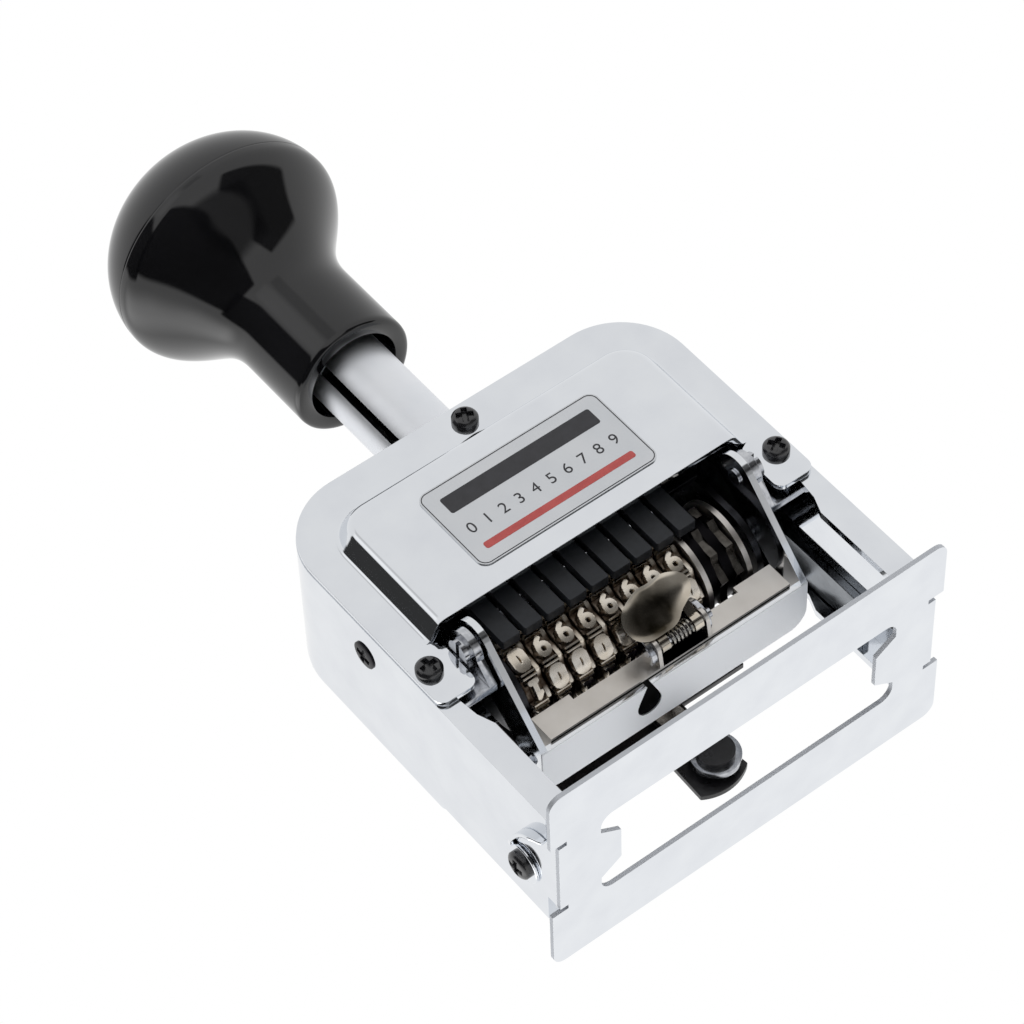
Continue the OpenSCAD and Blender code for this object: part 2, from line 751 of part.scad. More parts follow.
module selector_plate() {
  color("black") difference() {
    union() {
      along_y(panel_y, dial_t) polygon([[-dial_wide_w / 2, dial_wide_z],
        [-dial_wide_w / 2, dial_wide_z + dial_wide_h], [-dial_r * 0.7, selector_z + 1],
        [dial_r * 0.7, selector_z + 1], [dial_wide_w / 2, dial_wide_z + dial_wide_h],
        [dial_wide_w / 2, dial_wide_z]]);
      along_y(panel_y, dial_t) {
        translate([0, selector_z]) circle(dial_r, $fn = fn);
        translate([dial_x - dial_w / 2, fan_z]) square([dial_w, selector_z - fan_z]);
        translate([dial_x, fan_z]) intersection() {
          circle(fan_r, $fn = fn);
          polygon([[-dial_w / 2, eps], [-fan_r * 0.6, -2 * fan_r], [fan_r * 0.75, -2 * fan_r], [dial_w / 2, eps]]);
        }
      }
    }
    translate([0, 0, selector_z]) rod_y(0, base_d, selector_pivot_r + fit_gap);
  }
}

module at_selector() {
  translate([0, 0, selector_z]) rotate([0, -selector_deg, 0]) children();
}

module selector_lever() {
  y0 = panel_in_y - side_gap - selector_t;
  color("silver") at_selector() difference() {
    along_y(y0, selector_t) {
      circle(selector_w / 2 + 1, $fn = fn);
      translate([-selector_w / 2, -selector_l]) square([selector_w, selector_l]);
      translate([0, -selector_l]) circle(tip_r + 0.9, $fn = fn);
    }
    rod_y(0, base_d, selector_pivot_r + run_gap);
  }
}

module selector_tip() {
  y0 = panel_in_y - side_gap - selector_t - tip_t;
  color("black") at_selector() translate([0, 0, -selector_l]) rod_y(y0, y0 + tip_t, tip_r);
}

module selector_pivot() {
  back = panel_in_y - 2 * side_gap - selector_t;
  color("silver") translate([0, 0, selector_z]) {
    rod_y(back, panel_y + dial_t + eps, selector_pivot_r);
    rod_y(panel_y + dial_t, panel_y + dial_t + 1, selector_pivot_r + 1);
    rod_y(back - 0.6, back + eps, selector_pivot_r + 0.8);
  }
}

// ---- plunger ---------------------------------------------------------

module shaft_tube() {
  color("silver") translate([0, shaft_y, 0]) difference() {
    translate([0, 0, crosshead_z]) cylinder(h = shaft_top - crosshead_z, r = shaft_r, $fn = fn);
    translate([0, 0, crosshead_z - 1]) cylinder(h = shaft_top, r = bore_r, $fn = fn);
    rotate([0, 0, keyway_deg]) translate([-shaft_d, -keyway_w / 2, keyway_bottom])
      cube([2 * shaft_d, keyway_w, keyway_top - keyway_bottom]);
  }
}

// eases from 0 to 1, slow at the neck
function ease(t) = let (u = pow(t, 1.35)) u * u * (3 - 2 * u);

module ball_knob() {
  flare_z = knob_z + knob_neck_h;
  color("black") translate([0, shaft_y, 0]) rotate_extrude($fn = 96) polygon(concat(
    [[knob_mouth_r, knob_z], [knob_neck_r - 0.8, knob_z], [knob_neck_r - 0.2, knob_z + 0.3],
     [knob_neck_r, knob_z + 1]],
    [for (i = [0:16]) let (t = i / 16)
      [knob_neck_r + (knob_ball_r - knob_neck_r) * ease(t), flare_z + knob_flare_h * t]],
    [for (i = [1:15]) let (a = i * 6) [knob_ball_r * cos(a), ball_z + knob_crown_h * sin(a)]],
    [[0, knob_seat_z + knob_seat_h], [shaft_r + fit_gap, knob_seat_z + knob_seat_h],
     [shaft_r + fit_gap, knob_seat_z], [knob_mouth_r, knob_seat_z]]));
}

module knob_plug() {
  color("dimgray") translate([0, shaft_y, 0]) {
    translate([0, 0, shaft_top]) cylinder(h = plug_flange_t, r = shaft_r, $fn = fn);
    translate([0, 0, plug_bottom]) cylinder(h = plug_stem_h + eps, r = bore_r - fit_gap, $fn = fn);
  }
}

module crosshead() {
  color("dimgray") difference() {
    union() {
      translate([-wing_x, -wing_front, crosshead_z]) cube([2 * wing_x, wing_front + wing_back, crosshead_t]);
      translate([-plate_in, -comb_back_y, crosshead_z]) cube([2 * plate_in, comb_back_y, crosshead_t]);
    }
    translate([0, shaft_y, 0]) cylinder(h = frame_top, r = shaft_r + fit_gap, $fn = fn);
  }
}

module side_plates() {
  color("dimgray") both_sides() difference() {
    along_x(plate_in, side_plate_t) {
      translate([axle_y, axle_z]) circle(side_plate_r, $fn = fn);
      translate([axle_y - side_plate_r, axle_z]) square([2 * side_plate_r, crosshead_z - axle_z]);
    }
    translate([0, axle_y, axle_z]) rod_x(0, base_w, axle_r + fit_gap);
    for (y = [-tie_front, shaft_y]) translate([0, y, tie_z]) rod_x(0, base_w, tie_r + fit_gap);
  }
}

module tie_bars() {
  color("silver") for (y = [-tie_front, shaft_y]) translate([0, y, tie_z])
    rod_x(-side_plate_x, side_plate_x, tie_r);
}

module wheel_axle() {
  color("silver") translate([0, axle_y, axle_z]) {
    rod_x(-side_plate_x - eps, side_plate_x + eps, axle_r);
    rod_x(side_plate_x, side_plate_x + axle_head_t, axle_head_r);
    rod_x(-side_plate_x - axle_head_t, -side_plate_x, axle_head_r);
  }
}

module comb_bar() {
  color("dimgray") translate([-plate_in, -block_back, comb_z])
    cube([2 * plate_in, comb_t, crosshead_top - comb_z]);
}

module detent_blocks() {
  color("black") for (i = [0:wheel_count])
    translate([-wheel_first_x + i * wheel_pitch, 0, block_z + block_h / 2])
      along_y(-block_back - block_t, block_t) round_rect(block_w, block_h, block_corner_r);
}

function toothed(n, r, d) = [for (i = [0:n - 1], k = [0, 1])
  let (a = 360 / n * (i + (k == 0 ? 0 : 0.35)), q = k == 0 ? r : r - d) [q * cos(a), q * sin(a)]];

module spacer_discs() {
  color("dimgray") translate([0, axle_y, axle_z])
    for (x = [feed_plate_t + side_gap, feed_plate_t + side_gap + spacer_t + drive_t])
      difference() {
        rod_x(stack_x + x, stack_x + x + spacer_t, spacer_r);
        rod_x(0, base_w, axle_r + fit_gap);
      }
}

module drive_ratchets() {
  color("silver") translate([0, axle_y, axle_z])
    for (x = [feed_plate_t + side_gap + spacer_t, feed_plate_t + side_gap + 2 * spacer_t + drive_t])
      difference() {
        along_x(stack_x + x, drive_t) polygon(toothed(figure_count, ratchet_r, 1));
        rod_x(0, base_w, axle_r + fit_gap);
      }
}

module number_wheel(i) {
  x0 = -wheel_first_x + (i - 1) * wheel_pitch - wheel_w / 2;
  first = i == 1 ? -162 : -126;
  color("tan") translate([0, axle_y, axle_z]) difference() {
    union() {
      rod_x(x0, x0 + wheel_w, hub_r);
      along_x(x0 + wheel_w - ratchet_t, ratchet_t) rotate(first + 18) polygon(toothed(figure_count, ratchet_r, 0.8));
      along_x(x0 + side_gap / 2, figure_w) intersection() {
        circle(wheel_r, $fn = fn);
        for (k = [0:figure_count - 1]) rotate(first + k * 360 / figure_count)
          translate([0, -figure_l / 2]) square([wheel_r + 1, figure_l]);
      }
    }
    rod_x(-base_w, base_w, axle_r + run_gap);
  }
}

module number_wheel_1() { number_wheel(1); }
module number_wheel_2() { number_wheel(2); }
module number_wheel_3() { number_wheel(3); }
module number_wheel_4() { number_wheel(4); }
module number_wheel_5() { number_wheel(5); }
module number_wheel_6() { number_wheel(6); }
module number_wheel_7() { number_wheel(7); }
module number_wheel_8() { number_wheel(8); }

// ---- feed arm --------------------------------------------------------

feed_b = stack_x + feed_plate_t + 2 * side_gap + 2 * spacer_t + 2 * drive_t;

module feed_plates() {
  color("silver") translate([0, axle_y, axle_z]) rotate([feed_rest_deg, 0, 0])
    for (x = [stack_x, feed_b]) difference() {
      along_x(x, feed_plate_t) {
        circle(feed_plate_r, $fn = fn);
        translate([0, -2.4]) square([feed_rod_dist, 4.8]);
        translate([feed_rod_dist, 0]) circle(2.4, $fn = fn);
      }
      rod_x(0, base_w, axle_r + run_gap);
      translate([0, feed_rod_dist, 0]) rod_x(0, base_w, feed_rod_r + fit_gap);
    }
}

module feed_pawl() {
  color("dimgray") translate([0, axle_y, axle_z]) rotate([feed_rest_deg, 0, 0]) {
    translate([0, feed_rod_dist, 0]) rod_x(side_gap - plate_in, feed_b + feed_plate_t, feed_rod_r);
    for (i = [0:wheel_count - 1])
      translate([-wheel_first_x + i * wheel_pitch - finger_w / 2, wheel_r + side_gap, -finger_t / 2])
        cube([finger_w, feed_rod_dist - wheel_r - side_gap, finger_t]);
  }
}

// ---- ink pad yoke ----------------------------------------------------

module arm_outline() {
  translate([yoke_y, yoke_z]) circle(arm_r, $fn = fn);
  polygon([[yoke_y - arm_r * 0.68, yoke_z - arm_r * 0.733], [-tray_front, tray_z], [tray_back - tray_corner_r, tray_z],
    [tray_back - tray_corner_r, tray_top + 1.6], [yoke_y + arm_r * 0.72, yoke_z + arm_r * 0.69]]);
}

module pad_yoke() {
  color("whitesmoke") difference() {
    union() {
      both_sides() along_x(arm_in, yoke_t) arm_outline();
      difference() {
        translate([-arm_x, -tray_front, tray_z]) cube([2 * arm_x, tray_front + tray_back, yoke_t]);
        both_sides() translate([0, 0, tray_z - 1]) linear_extrude(yoke_t + 2) difference() {
          translate([arm_x - tray_corner_r, tray_back - tray_corner_r]) square(tray_corner_r + 1);
          translate([arm_x - tray_corner_r, tray_back - tray_corner_r]) circle(tray_corner_r, $fn = fn);
        }
      }
    }
    translate([0, yoke_y, yoke_z]) rod_x(-base_w, base_w, pivot_r + run_gap);
    translate([-drop_x, 0, tray_z - 1]) linear_extrude(yoke_t + 2) {
      translate([0, -tray_front + 2 * drop_r]) circle(drop_r, $fn = fn);
      polygon([[-drop_r * 0.9, -tray_front + 1.5 * drop_r], [0, -tray_front - 1], [drop_r * 0.9, -tray_front + 1.5 * drop_r]]);
    }
  }
}

module pad_holder() {
  back = tray_back;
  color("gainsboro") {
    difference() {
      translate([-holder_w / 2, -holder_front, tray_top])
        cube([holder_w, holder_front + back, holder_h]);
      translate([holder_t - holder_w / 2, holder_t - holder_front, tray_top + holder_t])
        cube([holder_w - 2 * holder_t, holder_front + back - 2 * holder_t, holder_h]);
      translate([-holder_step_x, -holder_front - 1, holder_top - holder_step])
        cube([2 * holder_step_x, holder_t + 2, holder_h]);
      translate([latch_left, -holder_front - 1, tray_top + holder_t])
        cube([latch_gap, holder_t + 2, holder_h]);
    }
    for (x = [latch_left - holder_t, latch_right]) difference() {
      along_x(x, holder_t) {
        translate([latch_y, latch_z]) circle(2 * latch_pin_r, $fn = fn);
        polygon([[latch_y, latch_z - 2 * latch_pin_r], [eps - holder_front, tray_top],
          [eps - holder_front, holder_top - holder_step], [latch_y, latch_z + 2 * latch_pin_r]]);
      }
      translate([0, latch_y, latch_z]) rod_x(-base_w, base_w, latch_pin_r + fit_gap);
    }
  }
}

module ink_pad() {
  inset = holder_t + pad_gap;
  color("darkslateblue") translate([inset - holder_w / 2, inset - holder_front, tray_top + holder_t])
    cube([holder_w - 2 * inset, holder_front + tray_back - 2 * inset, pad_top - tray_top - holder_t]);
}

module yoke_rivets() {
  color("silver") both_sides() translate([arm_x, 0, tray_top + 1.4])
    rotate([0, 90, 0]) rotate_extrude($fn = fn)
      polygon([[0, 0], [rivet_r, 0], [rivet_r * 0.8, rivet_h * 0.7], [rivet_r * 0.3, rivet_h], [0, rivet_h]]);
}

// ---- pad latch -------------------------------------------------------

module spoon_latch() {
  knuckle_r = latch_pin_r + run_gap + knuckle_wall;
  color("silver") translate([latch_x, latch_y, latch_z]) difference() {
    union() {
      for (s = [-1, 1]) translate([s * (latch_gap / 2 - side_gap - knuckle_w / 2) - knuckle_w / 2, 0, 0])
        rod_x(0, knuckle_w, knuckle_r);
      rotate([spoon_lean, 0, 0]) {
        along_y(-knuckle_r, spoon_t) {
          translate([0, spoon_h / 2 + 1.6]) round_rect(spoon_w, spoon_h - 1.6, 2.4);
          for (s = [-1, 1]) translate([s * (latch_gap / 2 - side_gap - knuckle_w / 2) - knuckle_w / 2, 0])
            square([knuckle_w, spoon_h / 2]);
        }
      }
    }
    rod_x(-base_w, base_w, latch_pin_r + run_gap);
  }
}

module latch_pin() {
  color("silver") translate([0, latch_y, latch_z])
    rod_x(latch_left - holder_t - latch_pin_end, latch_right + holder_t + latch_pin_end, latch_pin_r);
}

module latch_spring() {
  room = latch_gap - 2 * side_gap - 2 * knuckle_w;
  color("silver") translate([latch_x - room / 2, latch_y, latch_z]) rotate([0, 90, 0])
    coil(latch_pin_r + latch_wire_d / 2 + 2 * run_gap, latch_wire_d, room, latch_turns, 6, 14);
}

main_frame();
front_cover();
back_cover();
label_plate();
cover_screws();
guide_bush();
cross_key();
return_spring();
side_screws();
base_side_screws();
hook_washers();
guide_rails();
pad_brackets();
pad_pivot_screws();
selector_plate();
selector_lever();
selector_tip();
selector_pivot();
shaft_tube();
ball_knob();
knob_plug();
crosshead();
side_plates();
tie_bars();
wheel_axle();
comb_bar();
detent_blocks();
spacer_discs();
drive_ratchets();
number_wheel_1();
number_wheel_2();
number_wheel_3();
number_wheel_4();
number_wheel_5();
number_wheel_6();
number_wheel_7();
number_wheel_8();
feed_plates();
feed_pawl();
pad_yoke();
pad_holder();
ink_pad();
yoke_rivets();
spoon_latch();
latch_pin();
latch_spring();
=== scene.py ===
# %% [markdown]
# # A hand numbering machine on its fixed frame
# The solids of this machine were made as CAD parts. This lesson loads them as a frame that
# never moves, gives every part the finish of the real one, and puts finer pieces over the
# parts whose pressed, bent or engraved shape a plain solid can't show.

# %% Load the frame
import math
import bmesh
import bpy
import numpy as np
from mathutils import Matrix, Vector


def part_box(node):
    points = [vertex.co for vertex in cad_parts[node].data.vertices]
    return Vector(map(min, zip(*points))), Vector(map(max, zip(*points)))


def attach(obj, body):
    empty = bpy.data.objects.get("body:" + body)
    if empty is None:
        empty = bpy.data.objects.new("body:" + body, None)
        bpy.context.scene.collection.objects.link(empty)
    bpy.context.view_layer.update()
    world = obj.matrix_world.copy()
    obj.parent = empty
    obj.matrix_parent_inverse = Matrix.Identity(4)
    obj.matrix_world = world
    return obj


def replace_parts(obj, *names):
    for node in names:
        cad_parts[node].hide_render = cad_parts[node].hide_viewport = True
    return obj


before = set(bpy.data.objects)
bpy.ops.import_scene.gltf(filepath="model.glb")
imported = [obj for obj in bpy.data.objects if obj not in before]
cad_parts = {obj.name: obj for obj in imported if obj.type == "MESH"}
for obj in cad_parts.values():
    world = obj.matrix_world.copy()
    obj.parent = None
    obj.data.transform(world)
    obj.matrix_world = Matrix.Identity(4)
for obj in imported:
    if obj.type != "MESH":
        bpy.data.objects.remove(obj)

bpy.context.scene.view_settings.view_transform = "Standard"
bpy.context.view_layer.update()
MM = 0.001  # metres in a millimetre
AXLE_Y, AXLE_Z = -2.0, 28.1  # mm, the wheels' axle, which runs along X
SHAFT_Y = 2.6  # mm, the upright axis of the shaft and knob
PIN_Y, PIN_Z = -6.2, 17.9  # mm, the latch's pin, which runs along X
WHEELS = range(1, 9)

def link(thing):
    """Puts an object into the scene."""
    bpy.context.scene.collection.objects.link(thing)
    return thing

# %% [markdown]
# ## Camera
# The camera stands where the straight edges of the base, walls and shaft met in a fit. It
# looks up at the base from the front left, with a long lens, so that parallel edges stay
# nearly parallel. No shift and no depth of field are needed.

# %% Camera
def make_camera(place, right, up, back, lens):
    """A camera at a place, turned by its three axes, with a 36 mm sensor."""
    data = bpy.data.cameras.new("camera")
    data.lens, data.sensor_width = lens, 36
    data.clip_start, data.clip_end = 0.02, 20.0
    cam = link(bpy.data.objects.new("camera", data))
    axes = Matrix((right, up, back)).transposed().to_4x4()
    cam.matrix_world = Matrix.Translation(place) @ axes
    bpy.context.scene.camera = cam
    return cam

camera = make_camera(
    place=(-0.205469, -0.436404, -0.231815), right=(0.78869, 0.02621, -0.61423),
    up=(0.49205, -0.62589, 0.60510), back=(-0.36858, -0.77947, -0.50653), lens=143.73)
print("camera lens", camera.data.lens, "mm")

# %% [markdown]
# ## Node helpers and colours
# Every finish below is a small net of shader nodes. One function adds a node, sets its
# options and fills its sockets. Colours are written as the eye reads them, in sRGB, and one
# function turns them to the linear values that light is counted in.

# %% Node helpers
def linear(code):
    """sRGB hex to linear RGBA: c/12.92 below 0.04, else ((c + 0.055)/1.055)^2.4."""
    c = np.array([int(code[i:i + 2], 16) for i in (1, 3, 5)]) / 255
    c = np.where(c <= 0.04045, c / 12.92, ((c + 0.055) / 1.055) ** 2.4)
    return (*c.tolist(), 1.0)

def add(tree, kind, inputs=None, **options):
    """Adds one node. Inputs are linked where they are sockets and set where they are values."""
    node = tree.nodes.new("ShaderNode" + kind)
    for key, value in options.items():
        setattr(node, key, value)
    for key, value in (inputs or {}).items():
        if isinstance(value, bpy.types.NodeSocket):
            tree.links.new(value, node.inputs[key])
        else:
            node.inputs[key].default_value = value
    return node

def calc(tree, operation, *values):
    """The result of one Math node on sockets or numbers."""
    return add(tree, "Math", dict(enumerate(values)), operation=operation).outputs[0]

def vector(tree, operation, *values, give="Vector"):
    """The Vector or the Value that one VectorMath node gives."""
    return add(tree, "VectorMath", dict(enumerate(values)), operation=operation).outputs[give]

def ramp(tree, factor, stops):
    """A colour ramp from (place, hex colour) pairs."""
    node = add(tree, "ValToRGB", {0: factor})
    while len(node.color_ramp.elements) < len(stops):
        node.color_ramp.elements.new(0.5)
    for element, (place, code) in zip(node.color_ramp.elements, stops):
        element.position, element.color = place, linear(code)
    return node.outputs[0]

def levels(tree, value, low, high, to_low=0.0, to_high=1.0):
    """Maps low..high to to_low..to_high, clamped."""
    return add(tree, "MapRange", {0: value, 1: low, 2: high, 3: to_low, 4: to_high}).outputs[0]

def fade(tree, value, zero_mm, one_mm):
    """0 where a value in metres is at zero_mm, 1 where it is at one_mm."""
    return levels(tree, value, zero_mm * MM, one_mm * MM)

def empty_material(name):
    """A material without nodes, and its tree."""
    mat = bpy.data.materials.new(name)
    mat.use_nodes = True
    mat.node_tree.nodes.clear()
    return mat, mat.node_tree

print("white is", [round(v, 3) for v in linear("#FFFFFF")])

# %% [markdown]
# ## Light
# Chrome has no colour of its own: it shows the room. The real machine was lit in a white
# tent, so the world is white where the camera or a reflection meets it, a little greyer
# high in front, with a few dark cards that give the knob and the bends their black bands.
# All of it depends on direction only.

# %% World
WHITEST = Vector((0.0, 0.84, -0.55)).normalized()
TENT_GREY, TENT_WHITE = 0.84, 1.0  # the tent's strength opposite WHITEST, and towards it
ROOM_LIGHT = 0.4  # what matt surfaces get from the tent

def heading(azimuth, elevation):
    """A direction by its angle from the front (-Y) towards the left (-X) and its height."""
    a, e = math.radians(azimuth), math.radians(elevation)
    return Vector((-math.sin(a) * math.cos(e), -math.cos(a) * math.cos(e), math.sin(e)))

def card(tree, ray, centre, half_w, half_h, soft, roll):
    """1 inside a far rectangle seen towards centre, 0 outside, with a soft edge. A ray d
    meets the card's plane at (d.u/d.c, d.w/d.c), and each half size is a tangent."""
    side = centre.cross(Vector((0, 0, 1))).normalized()
    upward = side.cross(centre)
    u = side * math.cos(roll) + upward * math.sin(roll)
    w = upward * math.cos(roll) - side * math.sin(roll)
    dots = [vector(tree, "DOT_PRODUCT", ray, v, give="Value") for v in (u, w, centre)]
    ahead = calc(tree, "MAXIMUM", dots[2], 0.001)
    mask = levels(tree, dots[2], 0.0, 0.05)
    for dot, half in zip(dots, (half_w, half_h)):
        size = calc(tree, "ABSOLUTE", calc(tree, "DIVIDE", dot, ahead))
        edge = add(tree, "MapRange", {0: size, 1: half - soft, 2: half + soft, 3: 1.0, 4: 0.0},
                   interpolation_type="SMOOTHSTEP").outputs[0]
        mask = calc(tree, "MULTIPLY", mask, edge)
    return mask

world = bpy.data.worlds.new("tent")
bpy.context.scene.world = world
world.use_nodes = True
world.cycles.sampling_method = "NONE"
sky = world.node_tree
sky.nodes.clear()
ray = add(sky, "TexCoord").outputs["Generated"]
tilt = vector(sky, "DOT_PRODUCT", ray, WHITEST, give="Value")
tent = levels(sky, tilt, -1.0, 1.0, TENT_GREY, TENT_WHITE)

# heading, half width and half height in degrees, soft edge, roll, gain (under 1 darkens)
CARDS = (
    (heading(60, -24), 35, 33, 0.08, -0.12, 0.04),
    (heading(80, 22), 23, 24, 0.06, 0.0, 0.04),
    (heading(-42, -26), 28, 14, 0.06, 0.15, 0.10),
    (heading(-5, -44), 26, 16, 0.12, 0.0, 0.26),
    (heading(5, 32), 8, 7, 0.05, 0.0, 0.75),
    (heading(33, 31), 11, 9, 0.06, 0.0, 1.2),
    (heading(130, -2), 14, 24, 0.20, 0.0, 2.0),
)
for centre, wide, tall, soft, roll, gain in CARDS:
    half_w, half_h = math.tan(math.radians(wide)), math.tan(math.radians(tall))
    mask = card(sky, ray, centre, half_w, half_h, soft, roll)
    share = calc(sky, "MULTIPLY_ADD", mask, gain - 1.0, 1.0)
    tent = calc(sky, "MULTIPLY", tent, share)
path = add(sky, "LightPath").outputs
mirrored = calc(sky, "MAXIMUM", path["Is Glossy Ray"], path["Is Transmission Ray"])
room = add(sky, "Mix", {0: mirrored, 2: ROOM_LIGHT, 3: tent}).outputs[0]
seen = add(sky, "Mix", {0: path["Is Camera Ray"], 2: room, 3: 1.0}).outputs[0]
background = add(sky, "Background", {"Color": (1, 1, 1, 1), "Strength": seen})
add(sky, "OutputWorld", {"Surface": background.outputs[0]})
print("cards in the tent:", len(CARDS))

# %% Lamps
def soft_lamp(name, place, size, power, aim=(0, 0, 0.05)):
    """A square area lamp, aimed at the middle of the frame. Reflections leave it out,
    because the tent gives them."""
    data = bpy.data.lights.new(name, "AREA")
    data.size, data.energy = size, power
    lamp = link(bpy.data.objects.new(name, data))
    turn = (Vector(aim) - Vector(place)).to_track_quat("-Z", "Y").to_matrix().to_4x4()
    lamp.matrix_world = Matrix.Translation(place) @ turn
    lamp.visible_glossy = False
    return lamp

key = soft_lamp("key", (-0.35, -0.7, 0.75), size=0.7, power=11.0)
fill = soft_lamp("fill", (0.6, -0.5, -0.2), size=0.6, power=3.0)
print("lamps in watts:", key.data.energy, fill.data.energy)

# %% Floor
def make_floor():
    """A pale sheet that the machine stands on. It is seen from above only: the camera
    looks up from under it, so its lower face lets every ray through."""
    half, under, glow_share = 1.5, 0.0002, 0.7
    corners = [(-half, -half, 0), (half, -half, 0), (half, half, 0), (-half, half, 0)]
    mesh = bpy.data.meshes.new("floor")
    mesh.from_pydata(corners, [], [(0, 1, 2, 3)])
    floor = link(bpy.data.objects.new("floor", mesh))
    floor.location.z = -under
    mat, tree = empty_material("paper_floor")
    path = add(tree, "LightPath").outputs
    bright = calc(tree, "MAXIMUM", path["Is Camera Ray"], path["Is Glossy Ray"])
    share = calc(tree, "MULTIPLY", bright, glow_share)
    lit = add(tree, "BsdfDiffuse", {"Color": (0.9, 0.9, 0.9, 1)})
    glow = add(tree, "Emission", {"Color": (1, 1, 1, 1), "Strength": 1.0})
    sheet = add(tree, "MixShader", {0: share, 1: lit.outputs[0], 2: glow.outputs[0]})
    clear = add(tree, "BsdfTransparent")
    below = add(tree, "NewGeometry").outputs["Backfacing"]
    both = add(tree, "MixShader", {0: below, 1: sheet.outputs[0], 2: clear.outputs[0]})
    add(tree, "OutputMaterial", {"Surface": both.outputs[0]})
    mesh.materials.append(mat)
    floor.visible_glossy = False
    return floor

print("floor piece:", make_floor().name)

# %% [markdown]
# ## Metal finishes
# Chrome plate on pressed steel is a mirror with a very slight orange peel. Nickel is
# warmer and softer. Both come from one function: base colour, roughness that wanders in
# patches, and a bump whose scale is a real size in millimetres.

# %% Surface helpers
def place_on(tree):
    """The piece's own coordinates, in metres."""
    return add(tree, "TexCoord").outputs["Object"]

def surface_noise(tree, size_mm, detail=2.0, stretch=(1, 1, 1)):
    """Noise whose patches are about size_mm across."""
    place = add(tree, "Mapping", {"Vector": place_on(tree), "Scale": stretch}).outputs[0]
    inputs = {"Vector": place, "Scale": 1.0 / (size_mm * MM), "Detail": detail}
    return add(tree, "TexNoise", inputs).outputs["Fac"]

def bump(tree, height, depth_mm, below=None):
    """A bump of a real depth in mm, over another one if there is one."""
    inputs = {"Height": height, "Distance": depth_mm * MM, "Strength": 1.0}
    if below is not None:
        inputs["Normal"] = below
    return add(tree, "Bump", inputs).outputs[0]

def mixed(tree, factor, low, high, kind="RGBA"):
    """Blends two colours or two values by a factor."""
    slots = {"RGBA": (0, 6, 7, 2), "FLOAT": (0, 2, 3, 0)}[kind]
    node = add(tree, "Mix", {slots[0]: factor, slots[1]: low, slots[2]: high}, data_type=kind)
    return node.outputs[slots[3]]

def wandering(tree, size_mm, rough, span):
    """Roughness that goes up and down by span, in patches of size_mm."""
    return levels(tree, surface_noise(tree, size_mm, 3.0), 0.3, 0.7, rough - span, rough + span)

def height_of(tree, axis):
    """One of the piece's own coordinates."""
    return add(tree, "SeparateXYZ", {0: place_on(tree)}).outputs[axis]

def reach_from(tree, axis_mm, across):
    """Distance in metres from an axis through a point. across keeps the two directions that
    the axis doesn't run in: (0, 1, 1) for an axle along X, (1, 1, 0) for an upright shaft."""
    away = vector(tree, "SUBTRACT", place_on(tree), tuple(v * MM for v in axis_mm))
    return vector(tree, "LENGTH", vector(tree, "MULTIPLY", away, across), give="Value")

def reach_from_axle(tree):
    """Distance from the wheels' axle."""
    return reach_from(tree, (0, AXLE_Y, AXLE_Z), (0, 1, 1))

# %% Metals
def metal(name, colour, stain, rough, rough_span, peel_mm, peel_depth, grain_mm=0.0,
          grain_depth=0.0, stain_mm=6.0, edge_mm=0.0, stretch=(1, 1, 1), shade=None):
    """A plated or polished metal: colour with faint stains, wandering roughness, an orange
    peel bump and, where it is brushed or blasted, a fine grain. edge_mm rounds edges.
    shade(tree) gives (factor, colour, roughness) for soiled or sheared places, and for
    painted shade and a painted dark reflection."""
    mat, tree = empty_material(name)
    tone = ramp(tree, surface_noise(tree, stain_mm, 3.0), [(0.35, colour), (0.75, stain)])
    shine = wandering(tree, 2.5, rough, rough_span)
    if shade:
        factor, dark, dull = shade(tree)
        tone = mixed(tree, factor, tone, linear(dark))
        shine = mixed(tree, factor, shine, dull, "FLOAT")
    below = add(tree, "Bevel", {"Radius": edge_mm * MM}, samples=6).outputs[0] if edge_mm else None
    normal = bump(tree, surface_noise(tree, peel_mm), peel_depth, below)
    if grain_mm:
        normal = bump(tree, surface_noise(tree, grain_mm, 2.0, stretch), grain_depth, normal)
    body = add(tree, "BsdfPrincipled",
               {"Base Color": tone, "Metallic": 1.0, "Roughness": shine, "Normal": normal})
    add(tree, "OutputMaterial", {"Surface": body.outputs[0]})
    return mat

def sheared_plate(tree):
    """1 on the sheared edges of the base plate, which is 0.7 mm thick: within its height,
    and not facing up or down."""
    low = fade(tree, height_of(tree, 2), 0.74, 0.70)
    normal = add(tree, "NewGeometry").outputs["True Normal"]
    facing = add(tree, "SeparateXYZ", {0: normal}).outputs[2]
    steep = levels(tree, calc(tree, "ABSOLUTE", facing), 0.5, 0.3)
    return calc(tree, "MULTIPLY", low, steep), "#CDD0D5", 0.65

def painted_shade_under_holder(tree):
    """1 on the underside of the pad holder, behind its front lip, which only shows through
    the drop-shaped hole: painted shade, nearly black, under the holder."""
    low = fade(tree, height_of(tree, 2), 16.18, 16.12)
    behind = fade(tree, height_of(tree, 1), -3.55, -3.45)
    return calc(tree, "MULTIPLY", low, behind), "#0C0B0B", 0.8

def ink_in_gaps(tree):
    """1 at the root of the figures, where old ink sits, 0 on their worn tops."""
    deep = fade(tree, reach_from_axle(tree), 6.8, 6.4)
    patchy = levels(tree, surface_noise(tree, 0.8, 4.0), 0.25, 0.6, 0.7, 1.0)
    return calc(tree, "MULTIPLY", deep, patchy), "#54463A", 0.45

def painted_shade_on_disc_faces(tree):
    """1 below the polished rims of the discs: painted shade, nearly black, between the discs."""
    return fade(tree, reach_from_axle(tree), 7.0, 6.7), "#161517", 0.4

def brushed_tray(tree):
    """1 on the tray's underside, which is rubbed dull by the stamping, 0 on the arms."""
    return fade(tree, height_of(tree, 2), 15.4, 15.2), "#EDEFF2", 0.6

